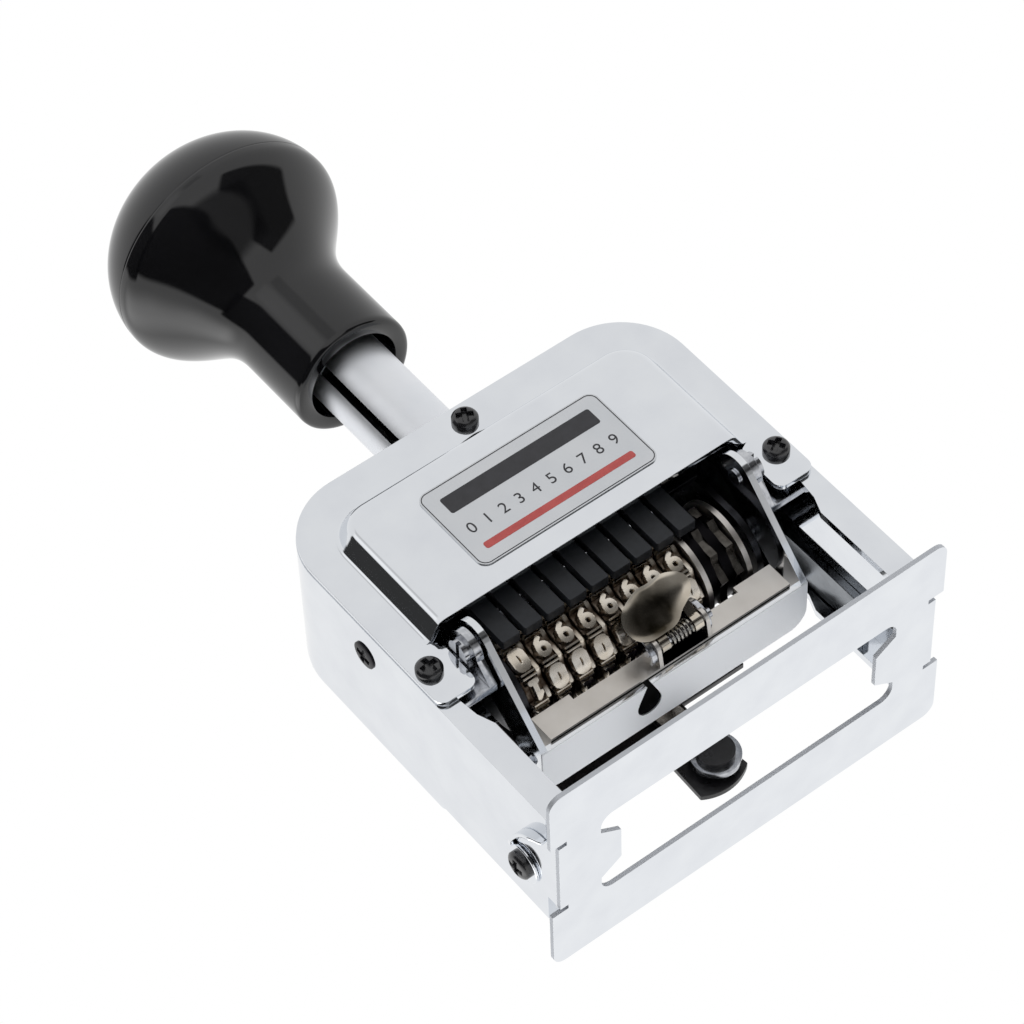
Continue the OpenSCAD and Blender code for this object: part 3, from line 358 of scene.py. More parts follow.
def painted_shade_in_keyway(tree):
    """1 inside the keyway and the bore: painted shade, nearly black, in the recess."""
    from_shaft = reach_from(tree, (0, SHAFT_Y, 0), (1, 1, 0))
    return fade(tree, from_shaft, 5.85, 5.75), "#2C2D30", 0.5

def painted_reflection_in_spoon(tree):
    """A painted dark reflection, brown, in the spoon's dish: strongest in its middle, in
    soft patches.
    """
    middle = (0.4 * MM, -8.6 * MM, 20.9 * MM)
    away = vector(tree, "DISTANCE", place_on(tree), middle, give="Value")
    near = fade(tree, away, 5.4, 2.6)
    patchy = levels(tree, surface_noise(tree, 2.2, 3.0), 0.3, 0.65, 0.75, 1.0)
    return calc(tree, "MULTIPLY", near, patchy), "#39342A", 0.16

# Name, colour, stain, roughness and its span, size and depth in mm of the peel and of a
# grain where there is one. Each comment says what the metal gives the eye.

# The bent sheet: a clean mirror of the tent, with dull grey lines where it was cut.
chrome_body = metal(
    "chrome_plated_steel", "#E6E9ED", "#DFE2E7", 0.06, 0.02, 6.0, 0.010, shade=sheared_plate)
# The pressed covers: the same mirror, whose fillets draw the dark lines round the panel.
chrome_cover = metal("chrome_plated_cover", "#E6E9ED", "#E0E3E8", 0.07, 0.02, 7.0, 0.012)
# The yoke: softer than the covers, and almost matt white under its tray.
chrome_yoke = metal(
    "chrome_plated_yoke", "#E6E9ED", "#DDDFE2", 0.10, 0.03, 5.0, 0.008, shade=brushed_tray)
# The shaft: wide soft gradients in place of sharp reflections, and painted shade in its groove.
chrome_tube = metal(
    "chrome_plated_tube", "#E8EAEE", "#E2E5EA", 0.40, 0.03, 8.0, 0.004, shade=painted_shade_in_keyway)
# The figures: warm, worn tops that shine over brown ink in the gaps.
nickel_type = metal(
    "nickel_type_wheel", "#DED7CC", "#CBC0B0", 0.26, 0.04, 1.2, 0.006, 0.15, 0.003,
    stain_mm=2.4, shade=ink_in_gaps)
# The discs: thin bright rings on painted shade, nearly black.
nickel_disc = metal(
    "nickel_rimmed_disc", "#CFCBC5", "#B2ADA6", 0.22, 0.04, 1.2, 0.006, stain_mm=2.0,
    shade=painted_shade_on_disc_faces)
# The spoon: a small warm mirror with a painted dark reflection, brown, in its dish.
nickel_spoon = metal(
    "nickel_polished", "#D2CABD", "#BDB3A3", 0.12, 0.03, 4.0, 0.010, stain_mm=3.0,
    shade=painted_reflection_in_spoon)
# The pad holder: a soft warm grey between the bright parts, nearly black underneath,
# where shade is painted.
satin_steel = metal(
    "satin_nickel_steel", "#CFCBC6", "#C3BEB8", 0.34, 0.05, 1.5, 0.004, 0.10, 0.004,
    shade=painted_shade_under_holder)
# Small turned and cut parts: sharp cool glints with cloudy zinc patches.
bright_screw = metal(
    "bright_zinc_screw", "#C9CBCF", "#9A9CA2", 0.16, 0.04, 1.5, 0.006, stain_mm=1.0)
# The inner mechanism: dark, so that the figures in front of it stand out.
steel_dark = metal(
    "blued_steel", "#3A3A3D", "#242528", 0.30, 0.06, 2.0, 0.006, stain_mm=4.0, edge_mm=0.12)
# The rails: mid grey with long streaks along the drawn bar.
steel_rail = metal(
    "drawn_steel_rail", "#8F9398", "#6D7176", 0.22, 0.05, 2.0, 0.006, 0.15, 0.004,
    stretch=(1, 1, 0.08))
# The latch's spring: a row of small warm glints.
spring_wire = metal(
    "spring_wire_steel", "#B7B4AE", "#8E8A82", 0.22, 0.05, 0.8, 0.004, stain_mm=1.0)
# The return spring: painted nearly black as the shade in the tube, so that the keyway stays dark.
shade_dark_spring_wire = metal("spring_wire_painted_shade", "#1C1B1A", "#131211", 0.45, 0.05, 0.8, 0.004, stain_mm=1.0)
# The flush side screws: black with a dull metallic sheen.
black_flat_screw = metal(
    "oil_blackened_screw", "#232225", "#161518", 0.38, 0.06, 0.8, 0.004, stain_mm=1.0)
# The ratchets: worn teeth, darker than the wheels beside them.
ratchet_steel = metal(
    "worn_ratchet_steel", "#5D5A56", "#3C3935", 0.28, 0.06, 1.0, 0.006, stain_mm=1.2)
# The label's foil: a smooth flat grey, which sets it off from the mirror round it.
label_foil = metal("printed_aluminium_foil", "#D3D5D8", "#CDD0D4", 0.34, 0.03, 3.0, 0.004)
print("metals:", len(bpy.data.materials) - 1)

# %% [markdown]
# ## Black finishes, plastic and felt
# These aren't bare metal, so white highlights lie over their own colour. They are nearly
# black, and only their sheen tells them apart.

# %% Plastics and others
def coated(name, colour, fleck, rough, rough_span, grain_mm, grain_depth,
           fleck_mm=1.5, specular=0.5, ior=1.5):
    """A non-metal: colour with slight variation, roughness that wanders and a fine grain."""
    mat, tree = empty_material(name)
    tone = ramp(tree, surface_noise(tree, fleck_mm, 4.0), [(0.3, colour), (0.75, fleck)])
    shine = wandering(tree, 3.0, rough, rough_span)
    normal = bump(tree, surface_noise(tree, grain_mm), grain_depth)
    body = add(tree, "BsdfPrincipled", {"Base Color": tone, "Roughness": shine, "Normal": normal,
                                        "Specular IOR Level": specular, "IOR": ior})
    add(tree, "OutputMaterial", {"Surface": body.outputs[0]})
    return mat

# The knob: jet black with sharp pale reflections of the tent, a little wavy.
knob_black = coated(
    "moulded_glossy_plastic", "#060607", "#0E0E10", 0.05, 0.01, 9.0, 0.010, fleck_mm=12.0,
    ior=1.56)
# The pan head screws: black, with one soft highlight on each dome.
black_screw = coated(
    "black_oxide_steel", "#121214", "#1C1C1F", 0.24, 0.05, 0.25, 0.004, specular=0.8)
# The detent blocks: matt black that turns grey only at a low angle.
black_nylon = coated(
    "moulded_black_nylon", "#17191C", "#1D1F23", 0.48, 0.05, 0.12, 0.004, fleck_mm=0.9,
    specular=0.35)
# The selector: black lacquer with a faint broad sheen.
black_plate = coated("black_lacquered_plate", "#161517", "#1E1D20", 0.30, 0.05, 0.3, 0.004)
# The felt: no highlight at all, violet-black with a rough nap.
ink_felt = coated("inked_felt", "#15131C", "#221F2E", 0.9, 0.05, 0.25, 0.06, fleck_mm=0.4)
print("finishes:", len(bpy.data.materials))

# %% Give every CAD part its finish
FINISH = {
    chrome_body: ["main_frame"],
    chrome_cover: ["front_cover", "back_cover", "hook_washers"],
    chrome_yoke: ["pad_yoke"],
    chrome_tube: ["shaft_tube", "guide_bush"],
    satin_steel: ["pad_holder", "feed_plates"],
    nickel_type: [f"number_wheel_{i}" for i in WHEELS],
    nickel_disc: ["spacer_discs"],
    nickel_spoon: ["spoon_latch"],
    bright_screw: ["pad_pivot_screws", "selector_pivot", "selector_lever", "wheel_axle",
                   "tie_bars", "pad_brackets", "latch_pin", "yoke_rivets"],
    steel_dark: ["crosshead", "side_plates", "comb_bar", "feed_pawl", "knob_plug", "cross_key"],
    ratchet_steel: ["drive_ratchets"],
    steel_rail: ["guide_rails"],
    spring_wire: ["latch_spring"],
    shade_dark_spring_wire: ["return_spring"],
    black_screw: ["cover_screws", "base_side_screws"],
    black_flat_screw: ["side_screws"],
    black_nylon: ["detent_blocks"],
    black_plate: ["selector_plate", "selector_tip"],
    knob_black: ["ball_knob"],
    ink_felt: ["ink_pad"],
    label_foil: ["label_plate"],
}
for mat, names in FINISH.items():
    for name in names:
        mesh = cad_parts[name].data
        mesh.materials.clear()
        mesh.materials.append(mat)
print("finished CAD parts:", sum(map(len, FINISH.values())), "of", len(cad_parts))

# %% [markdown]
# ## Surfaces from arrays
# Every finer piece below is a grid of points worked out with numpy: one row for each step
# along the shape and one column for each step across it. One function turns the grid into
# faces, and another joins several grids into one piece and gives it its body.

# %% Grid helpers
def grid(points, wrap="c"):
    """Points in rows and columns, with their quads (r, c), (r, c+1), (r+1, c+1), (r+1, c).
    wrap names what closes on itself: r for the rows and c for the columns."""
    rows, cols = points.shape[:2]
    r = np.arange(rows if "r" in wrap else rows - 1)[:, None]
    c = np.arange(cols if "c" in wrap else cols - 1)
    r2, c2 = (r + 1) % rows, (c + 1) % cols
    quads = (r * cols + c, r * cols + c2, r2 * cols + c2, r2 * cols + c)
    return points, np.stack(np.broadcast_arrays(*quads), -1).reshape(-1, 4)

def circle(steps):
    """Even angles once round."""
    return np.linspace(0, 2 * np.pi, steps, endpoint=False)

def in_space(x, y, z):
    """Points from three coordinates, broadcast to one shape."""
    return np.stack(np.broadcast_arrays(x, y, z), -1)

def show(name, mesh, material, body):
    """An object for a mesh, with its material and body."""
    mesh.materials.clear()
    mesh.materials.append(material)
    piece = link(bpy.data.objects.new(name, mesh))
    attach(piece, body)
    return piece

def broken_edge(piece, width_mm, segments, angle_deg):
    """A Bevel modifier that rounds edges sharper than the angle."""
    edge = piece.modifiers.new("edge", "BEVEL")
    edge.width, edge.segments = width_mm * MM, segments
    edge.angle_limit = math.radians(angle_deg)
    return edge

def make_piece(name, grids, material, body, smooth_deg=35, caps=()):
    """One mesh from (points, faces) pairs in millimetres. Doubles merge, normals face out,
    edges sharper than smooth_deg stay sharp. caps are extra polygons as index lists."""
    verts, faces, base = [], [], 0
    for points, quads in grids:
        flat = np.asarray(points, float).reshape(-1, 3)
        verts.append(flat)
        faces += (np.asarray(quads) + base).tolist()
        base += len(flat)
    faces += [list(cap) for cap in caps]
    mesh = bpy.data.meshes.new(name)
    mesh.from_pydata((np.concatenate(verts) * MM).tolist(), [], faces)
    work = bmesh.new()
    work.from_mesh(mesh)
    bmesh.ops.remove_doubles(work, verts=work.verts, dist=2e-6)
    bmesh.ops.recalc_face_normals(work, faces=work.faces)
    work.to_mesh(mesh)
    work.free()
    mesh.shade_smooth()
    mesh.set_sharp_from_angle(angle=math.radians(smooth_deg))
    return show(name, mesh, material, body)

# %% [markdown]
# ## Pressed and cut sheet parts
# On the real parts every cut edge is broken and catches a thin line of light, which a CAD
# solid's knife edges can't do. The solid's own mesh is copied, its flat faces are joined,
# and a Bevel modifier rounds the edges of the copy.

# %% Parts with broken edges
def rounded_copy(node, name, width_mm, material, body, slot):
    """A copy of a CAD node whose edges over 32 degrees are rounded by width_mm."""
    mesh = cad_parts[node].data.copy()
    mesh.name = name
    work = bmesh.new()
    work.from_mesh(mesh)
    bmesh.ops.remove_doubles(work, verts=work.verts, dist=1e-6)
    bmesh.ops.dissolve_limit(work, angle_limit=math.radians(0.5),
                             verts=work.verts, edges=work.edges)
    work.to_mesh(mesh)
    work.free()
    mesh.shade_smooth()
    mesh.set_sharp_from_angle(angle=math.radians(30))
    piece = show(name, mesh, material, body)
    broken_edge(piece, width_mm, 2, 32).harden_normals = True
    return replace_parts(piece, node)

# CAD node, piece, width of the rounded edge in mm, material, body, slot
SHEETS = (
    ("main_frame", "frame_sheet", 0.16, chrome_body, "frame", "chrome_sheet"),
    ("pad_yoke", "yoke_sheet", 0.22, chrome_yoke, "yoke", "chrome_cover"),
    ("pad_holder", "holder_tray", 0.12, satin_steel, "yoke", "satin_steel"),
    ("pad_brackets", "bracket_ears", 0.22, bright_screw, "frame", "steel_dark"),
    ("detent_blocks", "detent_fingers", 0.10, black_nylon, "plunger", "black_plastic"),
    ("guide_rails", "rail_bars", 0.12, steel_rail, "frame", "steel_rail"),
    ("selector_plate", "selector_blade", 0.10, black_plate, "frame", "black_plate"),
    ("shaft_tube", "shaft_body", 0.12, chrome_tube, "plunger", "chrome_tube"),
)
sheets = {}
for row in SHEETS:
    piece = sheets[row[1]] = rounded_copy(*row)
    print(piece.name, "faces:", len(piece.data.polygons))

# %% [markdown]
# The black blade's lower edge isn't level: left of its tab it hangs about 3 mm lower, which
# closes the slot that would otherwise show under the tray.

# %% Lower the blade's left edge
BLADE_EDGE_Z, BLADE_DROP = 20.4, 2.9  # mm

def points_of(mesh):
    """A mesh's points in metres, one row each."""
    at = np.empty(3 * len(mesh.vertices))
    mesh.vertices.foreach_get("co", at)
    return at.reshape(-1, 3)

blade = sheets["selector_blade"].data
at = points_of(blade)
drop = (np.abs(at[:, 2] - BLADE_EDGE_Z * MM) < 0.1 * MM) & (at[:, 0] < 0)
at[drop, 2] -= BLADE_DROP * MM
blade.vertices.foreach_set("co", at.ravel())
print("blade points lowered:", int(drop.sum()))

# %% [markdown]
# ## Ball knob
# The knob is moulded in two halves that meet just above where the ball is widest, so a fine
# parting seam runs round it there. A lathe gives the body. Its profile is the same as the
# solid's, but with many more steps, because a glossy black ball shows every flat.

# %% Knob
NECK_R, BALL_R = 9.75, 18.6  # mm
NECK_Z, WIDEST_Z, CROWN = 100.0, 117.8, 15.2  # flare's start and end, and height over it
SEAM_Z, SEAM_DEPTH, SEAM_WIDTH = 118.7, 0.05, 0.09
# The mouth (radius, height): the socket's floor, its wall, and the rolled lower lip
MOUTH = ((0.0, 101.0), (7.2, 101.0), (7.2, 94.0), (7.2, 87.6), (7.35, 87.15), (7.6, 87.0),
         (8.9, 87.0), (9.35, 87.12), (9.65, 87.45), (9.75, 88.0))

def ease(t):
    """u squared times (3 - 2u), with u = t to the power 1.35: slow at the neck."""
    u = t ** 1.35
    return u * u * (3 - 2 * u)

def knob_radius(z):
    """The neck, then an eased flare up to the widest place, then a half ellipse."""
    flare = NECK_R + (BALL_R - NECK_R) * ease(np.clip((z - NECK_Z) / (WIDEST_Z - NECK_Z), 0, 1))
    up = np.clip(z - WIDEST_Z, 0, None) / CROWN
    return np.where(z < WIDEST_Z, flare, BALL_R * np.sqrt(np.clip(1 - up ** 2, 0, 1)))

def make_knob():
    """The outside by knob_radius, less the seam's depth times a bell curve round its height,
    turned round the shaft's axis."""
    crown = WIDEST_Z + CROWN * np.sin(np.linspace(0, np.pi / 2, 64)[1:])
    seam = SEAM_Z + np.linspace(-0.3, 0.3, 13)
    neck, flare = np.linspace(88.4, 99.8, 12), np.linspace(NECK_Z, WIDEST_Z, 72)
    z = np.unique(np.concatenate((neck, flare, crown, seam)))
    r = knob_radius(z) - SEAM_DEPTH * np.exp(-((z - SEAM_Z) / SEAM_WIDTH) ** 2)
    r[-1] = 0.0
    profile, a = np.concatenate((MOUTH, np.stack((r, z), -1))), circle(240)
    r, z = profile[:, :1], profile[:, 1:]
    lathe = grid(in_space(r * np.cos(a), SHAFT_Y + r * np.sin(a), z))
    return make_piece("knob", [lathe], knob_black, "plunger")

knob = make_knob()
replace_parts(knob, "ball_knob")
print("knob triangles:", 2 * len(knob.data.polygons))

# %% [markdown]
# ## Figure wheels
# Each wheel is a small drum with ten raised, mirror-written figures, bars between them and
# a ratchet ring on its right side. All of it is one height field: the radius is a function
# of the angle round the axle and of the place across the wheel. The figures come from the
# distance to a few strokes, so their flanks are drafted like real cut type.

# %% Figure strokes
def ring(cx, cy, rx, ry, start=0, end=360, power=2.4):
    """A rounded-rectangle arc: superellipse points between two angles."""
    a = np.radians(np.linspace(start, end, 28))
    c, s = np.cos(a), np.sin(a)
    x = cx + rx * np.sign(c) * np.abs(c) ** (2 / power)
    y = cy + ry * np.sign(s) * np.abs(s) ** (2 / power)
    return np.stack((x, y), -1)

# The strokes of each figure in a unit square, x to the right and y up
FIGURES = {
    0: [ring(0.5, 0.5, 0.5, 0.5, power=3.2)],
    1: [[(0.5, 0), (0.5, 1)], [(0.15, 0.74), (0.5, 1)], [(0.15, 0), (0.85, 0)]],
    2: [ring(0.5, 0.72, 0.48, 0.28, 170, -20, 2.2), [(0.93, 0.6), (0.02, 0.0), (1, 0)]],
    3: [ring(0.48, 0.75, 0.45, 0.25, 160, -90, 2.2), ring(0.48, 0.26, 0.5, 0.26, 90, -160, 2.2)],
    4: [[(0.7, 0), (0.7, 1), (0, 0.3), (1, 0.3)]],
    5: [[(0.9, 1), (0.12, 1), (0.08, 0.56)], ring(0.46, 0.32, 0.52, 0.32, 130, -150, 2.2)],
    6: [ring(0.5, 0.3, 0.5, 0.3), [(0.02, 0.36), (0.16, 0.76), (0.6, 1)]],
    7: [[(0, 1), (1, 1), (0.36, 0)]],
    8: [ring(0.5, 0.75, 0.42, 0.25), ring(0.5, 0.26, 0.5, 0.26)],
    9: [ring(0.5, 0.7, 0.5, 0.3), [(0.98, 0.64), (0.84, 0.24), (0.4, 0)]],
}

def stroke_distance(px, py, strokes, wide, tall):
    """Distance in mm from each point to the nearest stroke segment of a figure."""
    best = np.full(px.shape, 9.0)
    for line in strokes:
        p = np.asarray(line, float) * (wide, tall)
        for a, b in zip(p[:-1], p[1:]):
            ab = b - a
            t = np.clip(((px - a[0]) * ab[0] + (py - a[1]) * ab[1]) / max(ab @ ab, 1e-9), 0, 1)
            best = np.minimum(best, np.hypot(px - a[0] - t * ab[0], py - a[1] - t * ab[1]))
    return best

# %% Wheels
WHEEL_PITCH, WHEEL_WIDTH, FIRST_X = 3.7, 3.4, -17.5  # mm, FIRST_X is wheel 1's middle
HUB_R, BORE_R, FIGURE_RISE, BAR_RISE = 6.3, 1.55, 1.2, 1.15
FIGURE_W, FIGURE_H, FIGURE_X = 1.42, 2.42, 1.36  # size, and middle from the left face
RATCHET_X = 2.62  # where the saw-tooth ring starts
REACH = 7.5  # radius of the figures' tops
STEPS, COLUMNS = 560, 34
PLACE = np.pi / 5  # the angle from figure to figure

def wheel_field(angle, x, first):
    """Radius over (angle, x) = hub + 1.2 mm where the distance to a stroke is under 0.40 to
    0.61 mm, falling over 0.12 mm; a pair of bars halfway between figures; a saw-tooth ring
    over the last 0.8 mm; both rims broken by 0.12 mm. Figure 0 stands at the angle first."""
    nearest = np.round((angle - first) / PLACE)
    u, v = np.meshgrid(x, (angle - first - nearest * PLACE) * REACH)
    field = np.full(u.shape, HUB_R)
    for digit, strokes in FIGURES.items():
        rows, bold = nearest.astype(int) % 10 == digit, 0.73 if digit == 0 else 0.52
        across, up = FIGURE_W / 2 - (u[rows] - FIGURE_X), v[rows] + FIGURE_H / 2
        far = stroke_distance(across, up, strokes, FIGURE_W, FIGURE_H)
        field[rows] = HUB_R + FIGURE_RISE * np.clip((bold - far) / 0.12, 0, 1)
    gap = np.abs(np.abs(v) - REACH * PLACE / 2)
    bars = np.clip((0.23 - np.abs(gap - 0.26)) / 0.07, 0, 1)
    bars = bars * np.clip((1.30 - np.abs(u - FIGURE_X)) / 0.1, 0, 1)
    field = np.maximum(field, HUB_R + BAR_RISE * bars)
    turn = np.degrees(angle - first) % 36
    saw = np.interp((turn - 18) % 36, [0, 12.6, 36], [6.9, 6.1, 6.9])
    field = np.where(u > RATCHET_X, saw[:, None], field)
    rim = np.clip(np.minimum(u, WHEEL_WIDTH - u) / 0.12, 0, 1)
    return field - 0.12 * (1 - rim)

def make_wheel(number):
    """The field wrapped round the axle, closed at both sides by flat faces to the bore."""
    angle, x = circle(STEPS), np.linspace(0, WHEEL_WIDTH, COLUMNS)
    first = math.radians(-162 if number == 1 else -126)
    bore = np.full((STEPS, 1), BORE_R)
    radius = np.concatenate((bore, wheel_field(angle, x, first), bore), 1)
    left = FIRST_X + WHEEL_PITCH * (number - 1) - WHEEL_WIDTH / 2
    xs = left + np.concatenate(([0], x, [WHEEL_WIDTH]))
    cos, sin = np.cos(angle)[:, None], np.sin(angle)[:, None]
    drum = grid(in_space(xs, AXLE_Y + radius * cos, AXLE_Z + radius * sin), "rc")
    piece = make_piece(f"figure_wheel_{number}", [drum], nickel_type,
                       f"wheel_{number}", 40)
    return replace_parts(piece, f"number_wheel_{number}")

wheels = [make_wheel(i) for i in WHEELS]
print("triangles in a wheel:", 2 * len(wheels[0].data.polygons))

# %% [markdown]
# ## Screw heads
# The black screws are pan heads with a cross recess, and the upper side screws are nearly
# flush. A head is a polar grid whose height is a function of radius and angle: a low dome,
# sunk on the two arms of the cross. All heads of a kind form one piece, and each reaches
# down to the sheet that it stands on.

# %% Screw heads
def screw_head(centre, outward, radius, height, turn, sunk=0.75, rows=36, sides=72):
    """Height over (rho, a): height times sqrt(1 - 0.75 rho^4), less the recess inside the
    cross, whose arms are 0.72 mm wide and reach to 0.62 of the radius."""
    arm, end = 0.36, 0.62 * radius
    rho = np.concatenate((np.linspace(0, 1, rows), [1.0]))[:, None]
    a = circle(sides)
    px, py = radius * rho * np.cos(a), radius * rho * np.sin(a)
    dome = height * np.sqrt(np.clip(1 - 0.75 * rho ** 4, 0, 1)) + 0 * a
    qx = np.abs(px * math.cos(turn) + py * math.sin(turn))
    qy = np.abs(py * math.cos(turn) - px * math.sin(turn))
    cross = np.minimum(np.maximum(qx - end, qy - arm), np.maximum(qy - end, qx - arm))
    dome -= sunk * np.clip(0.05 - cross, 0, 0.1) / 0.1
    dome[-1] = 0.0
    out = Vector(outward)
    side = out.orthogonal().normalized()
    u, v, w = np.array(side), np.array(out.cross(side)), np.array(out)
    return grid(np.array(centre) + px[..., None] * u + py[..., None] * v + dome[..., None] * w)

SIDES = (-1, 1)
COVER_SCREWS = ((-29.3, 29.9), (29.3, 29.9), (0, 60.5))  # (x, z) in mm
cover_heads = [screw_head((x, side * 12.1, z), (0, side, 0), 1.9, 1.35, 0.3 + x)
               for side in SIDES for x, z in COVER_SCREWS]
base_heads = [screw_head((side * 32.2, 3.7, 7.4), (side, 0, 0), 2.1, 1.1, 0.9)
              for side in SIDES]
side_heads = [screw_head((side * 31.7, -5.8, 41.2), (side, 0, 0), 2.1, 0.35, 0.5, sunk=0.3)
              for side in SIDES]
for node, heads, material, slot in (
        ("cover_screws", cover_heads, black_screw, "black_screw"),
        ("base_side_screws", base_heads, black_screw, "black_screw"),
        ("side_screws", side_heads, black_flat_screw, "bright_screw")):
    name = node[:-1] + "_heads"
    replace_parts(make_piece(name, heads, material, "frame", 40), node)
    print(name, "heads:", len(heads))

# %% [markdown]
# ## Hook washers
# A washer with a tongue sits under each lower screw. The tongue is bent out from the wall
# and curls down over the base, so it is a strip of sheet carried along a curved path.

# %% Bent strips
def bent_strip(steps, knots, y, z, half, x0, x1):
    """A strip from x0 to x1 along a path in the (y, z) plane. The path is read between a few
    places and smoothed over nine steps, and offset to both sides by half the sheet."""
    t, soft = np.linspace(0, 1, steps), np.ones(9) / 9
    y, z = (np.convolve(np.pad(np.interp(t, knots, v), 4, mode="edge"), soft, "valid")
            for v in (y, z))
    dy, dz = np.gradient(y), np.gradient(z)
    ny, nz = dz / np.hypot(dy, dz) * half, -dy / np.hypot(dy, dz) * half
    corners = ((x0, 1), (x1, 1), (x1, -1), (x0, -1))
    return grid(np.stack([in_space(x, y + k * ny, z + k * nz) for x, k in corners], 1))

def strip_ends(base, steps):
    """The two end faces of a strip whose points start at base."""
    return [[base + 4 * row + k for k in range(4)] for row in (0, steps - 1)]

# %% Hook washers
WALL_X, TONGUE_STEPS = 31.72, 40

def hook_washers():
    """For each side a tongue, whose reach grows from 0.55 to 1.5 mm along it, and a ring
    under the screw's head: a turned rectangle with a raised rim."""
    grids, caps, base, a = [], [], 0, circle(64)
    t = np.linspace(0, 1, TONGUE_STEPS)
    reach = 31.75 + np.interp(t, [0, 0.25, 0.8, 1], [0.55, 1.35, 1.5, 0.8])
    for side in SIDES:
        grids.append(bent_strip(TONGUE_STEPS, [0, 0.3, 0.55, 0.8, 1],
                                [2.6, -1.6, -4.6, -6.4, -6.6], [10.0, 8.5, 6.7, 4.6, 2.2],
                                0.3, side * WALL_X, side * reach))
        caps += strip_ends(base, TONGUE_STEPS)
        r = np.array([1.3, 3.05, 3.15, 3.05, 1.3])[:, None]
        x = np.array([WALL_X, WALL_X, 31.95, 32.2, 32.2])[:, None]
        washer = in_space(side * x, 3.7 + r * np.cos(a), 7.4 + r * np.sin(a))
        grids.append(grid(washer, "rc"))
        base += 4 * TONGUE_STEPS + 5 * 64
    return make_piece("hook_tongues", grids, chrome_cover, "frame", 40, caps)

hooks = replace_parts(hook_washers(), "hook_washers")
broken_edge(hooks, 0.12, 2, 50)
print("hook washer faces:", len(hooks.data.polygons))

# %% [markdown]
# ## Covers
# A cover is one pressed sheet: a flat border with two tabs, and a raised panel whose walls
# lean and run out in soft fillets. On chrome those fillets make the black and white lines
# that frame the panel, so they are the shape that matters. The outline is an arch. A
# profile (outward step, depth) is carried round it, Solidify gives the sheet its 0.8 mm
# and Bevel breaks its cut edges.

# %% Cover outline and profile
def arch(half, low, top, radius, side=14, corner=18, span=16):
    """An arch as points: up the left side, round the corner, along the top and mirrored."""
    up = np.stack((np.full(side, -half), np.linspace(low, top - radius, side)), -1)
    a = np.linspace(np.pi, np.pi / 2, corner)[1:]
    bend = np.stack((radius - half + radius * np.cos(a), top - radius + radius * np.sin(a)), -1)
    flat = np.stack((np.linspace(radius - half, 0, span)[1:], np.full(span - 1, top)), -1)
    left = np.concatenate((up, bend, flat))
    return np.concatenate((left, left[-2::-1] * (-1, 1)))

def panel_profile(run=1.6, rise=2.9, crown=1.5, foot=0.9, steps=9):
    """(outward step, depth) from the face over the fillet, down the wall and out at the
    foot. A fillet of radius r in a turn of angle t starts r tan(t/2) from the corner."""
    t = math.atan2(rise, run)
    a = np.linspace(0, t, steps)
    start, end = -crown * math.tan(t / 2), run + foot * math.tan(t / 2)
    over = np.stack((start + crown * np.sin(a), crown * (1 - np.cos(a))), -1)
    down = np.stack((end - foot * np.sin(a[::-1]), rise - foot * (1 - np.cos(a[::-1]))), -1)
    return np.concatenate((over, down))

# %% Covers
PANEL_HALF_W, PANEL_TOP, PANEL_CORNER = 24.9, 55.8, 4.2  # mm, the panel's flat face
COVER_LOW, COVER_HALF_W, COVER_TOP, COVER_CORNER = 33.5, 31.6, 63.4, 10.9
FACE_Y, BORDER_Y, COVER_T = -15.0, -12.1, 0.8
TAB_INSIDE, TAB_CORNER = 25.3, 1.5

def make_cover(name, front):
    """The panel rings, the flat border between the last ring and the outer arch, and two
    tabs, all at depth y (negative in front). The face is one flat polygon."""
    def level(half, top, corner, depth):
        line = arch(half, COVER_LOW, top, corner)
        return in_space(line[:, 0], depth, line[:, 1])
    rings = [level(PANEL_HALF_W + out, PANEL_TOP + out, PANEL_CORNER + out, FACE_Y + deep)
             for out, deep in [(-2.0, 0.0), *panel_profile()]]
    inner, outer = rings[-1], level(COVER_HALF_W, COVER_TOP, COVER_CORNER, BORDER_Y)
    shares = np.linspace(0, 1, 7)
    sheet = np.stack(rings + [inner + (outer - inner) * f for f in shares[1:]])
    bottom = 24.4 + TAB_CORNER * (1 - np.sin(np.linspace(0, np.pi / 2, 8)[1:]))
    drop = np.concatenate((np.linspace(COVER_LOW, 26.0, 10), bottom))
    low = np.clip(25.9 - drop, 0, TAB_CORNER) / TAB_CORNER
    pull = TAB_CORNER * (1 - np.sqrt(np.clip(1 - low ** 2, 0, 1)))
    inside = np.interp(drop, [33.0, COVER_LOW], [TAB_INSIDE, -inner[0, 0]]) + pull
    across = inside[:, None] + (COVER_HALF_W - pull - inside)[:, None] * shares
    tab = in_space(-across, BORDER_Y, drop[:, None])
    turn = (1, 1 if front else -1, 1)
    grids = [grid(points * turn, "") for points in (sheet, tab, tab * (-1, 1, 1))]
    piece = make_piece(name, grids, chrome_cover, "frame", 50,
                       [range(len(inner))])
    outward = sum(p.normal.y * p.area for p in piece.data.polygons) * (1 if front else -1)
    if outward > 0:
        piece.data.flip_normals()
    wall = piece.modifiers.new("sheet", "SOLIDIFY")
    wall.thickness, wall.offset = COVER_T * MM, -1
    broken_edge(piece, 0.22, 3, 60)
    return piece

for name, front, node in (("cover_front", True, "front_cover"),
                          ("cover_back", False, "back_cover")):
    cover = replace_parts(make_cover(name, front), node)
    print(name, "faces:", len(cover.data.polygons))

# %% [markdown]
# ## Ink pad
# The pad is a block of felt soaked with ink, a little fuller in the middle than at its
# edges. A superellipsoid gives that: nearly a box, closed all round, with soft corners.

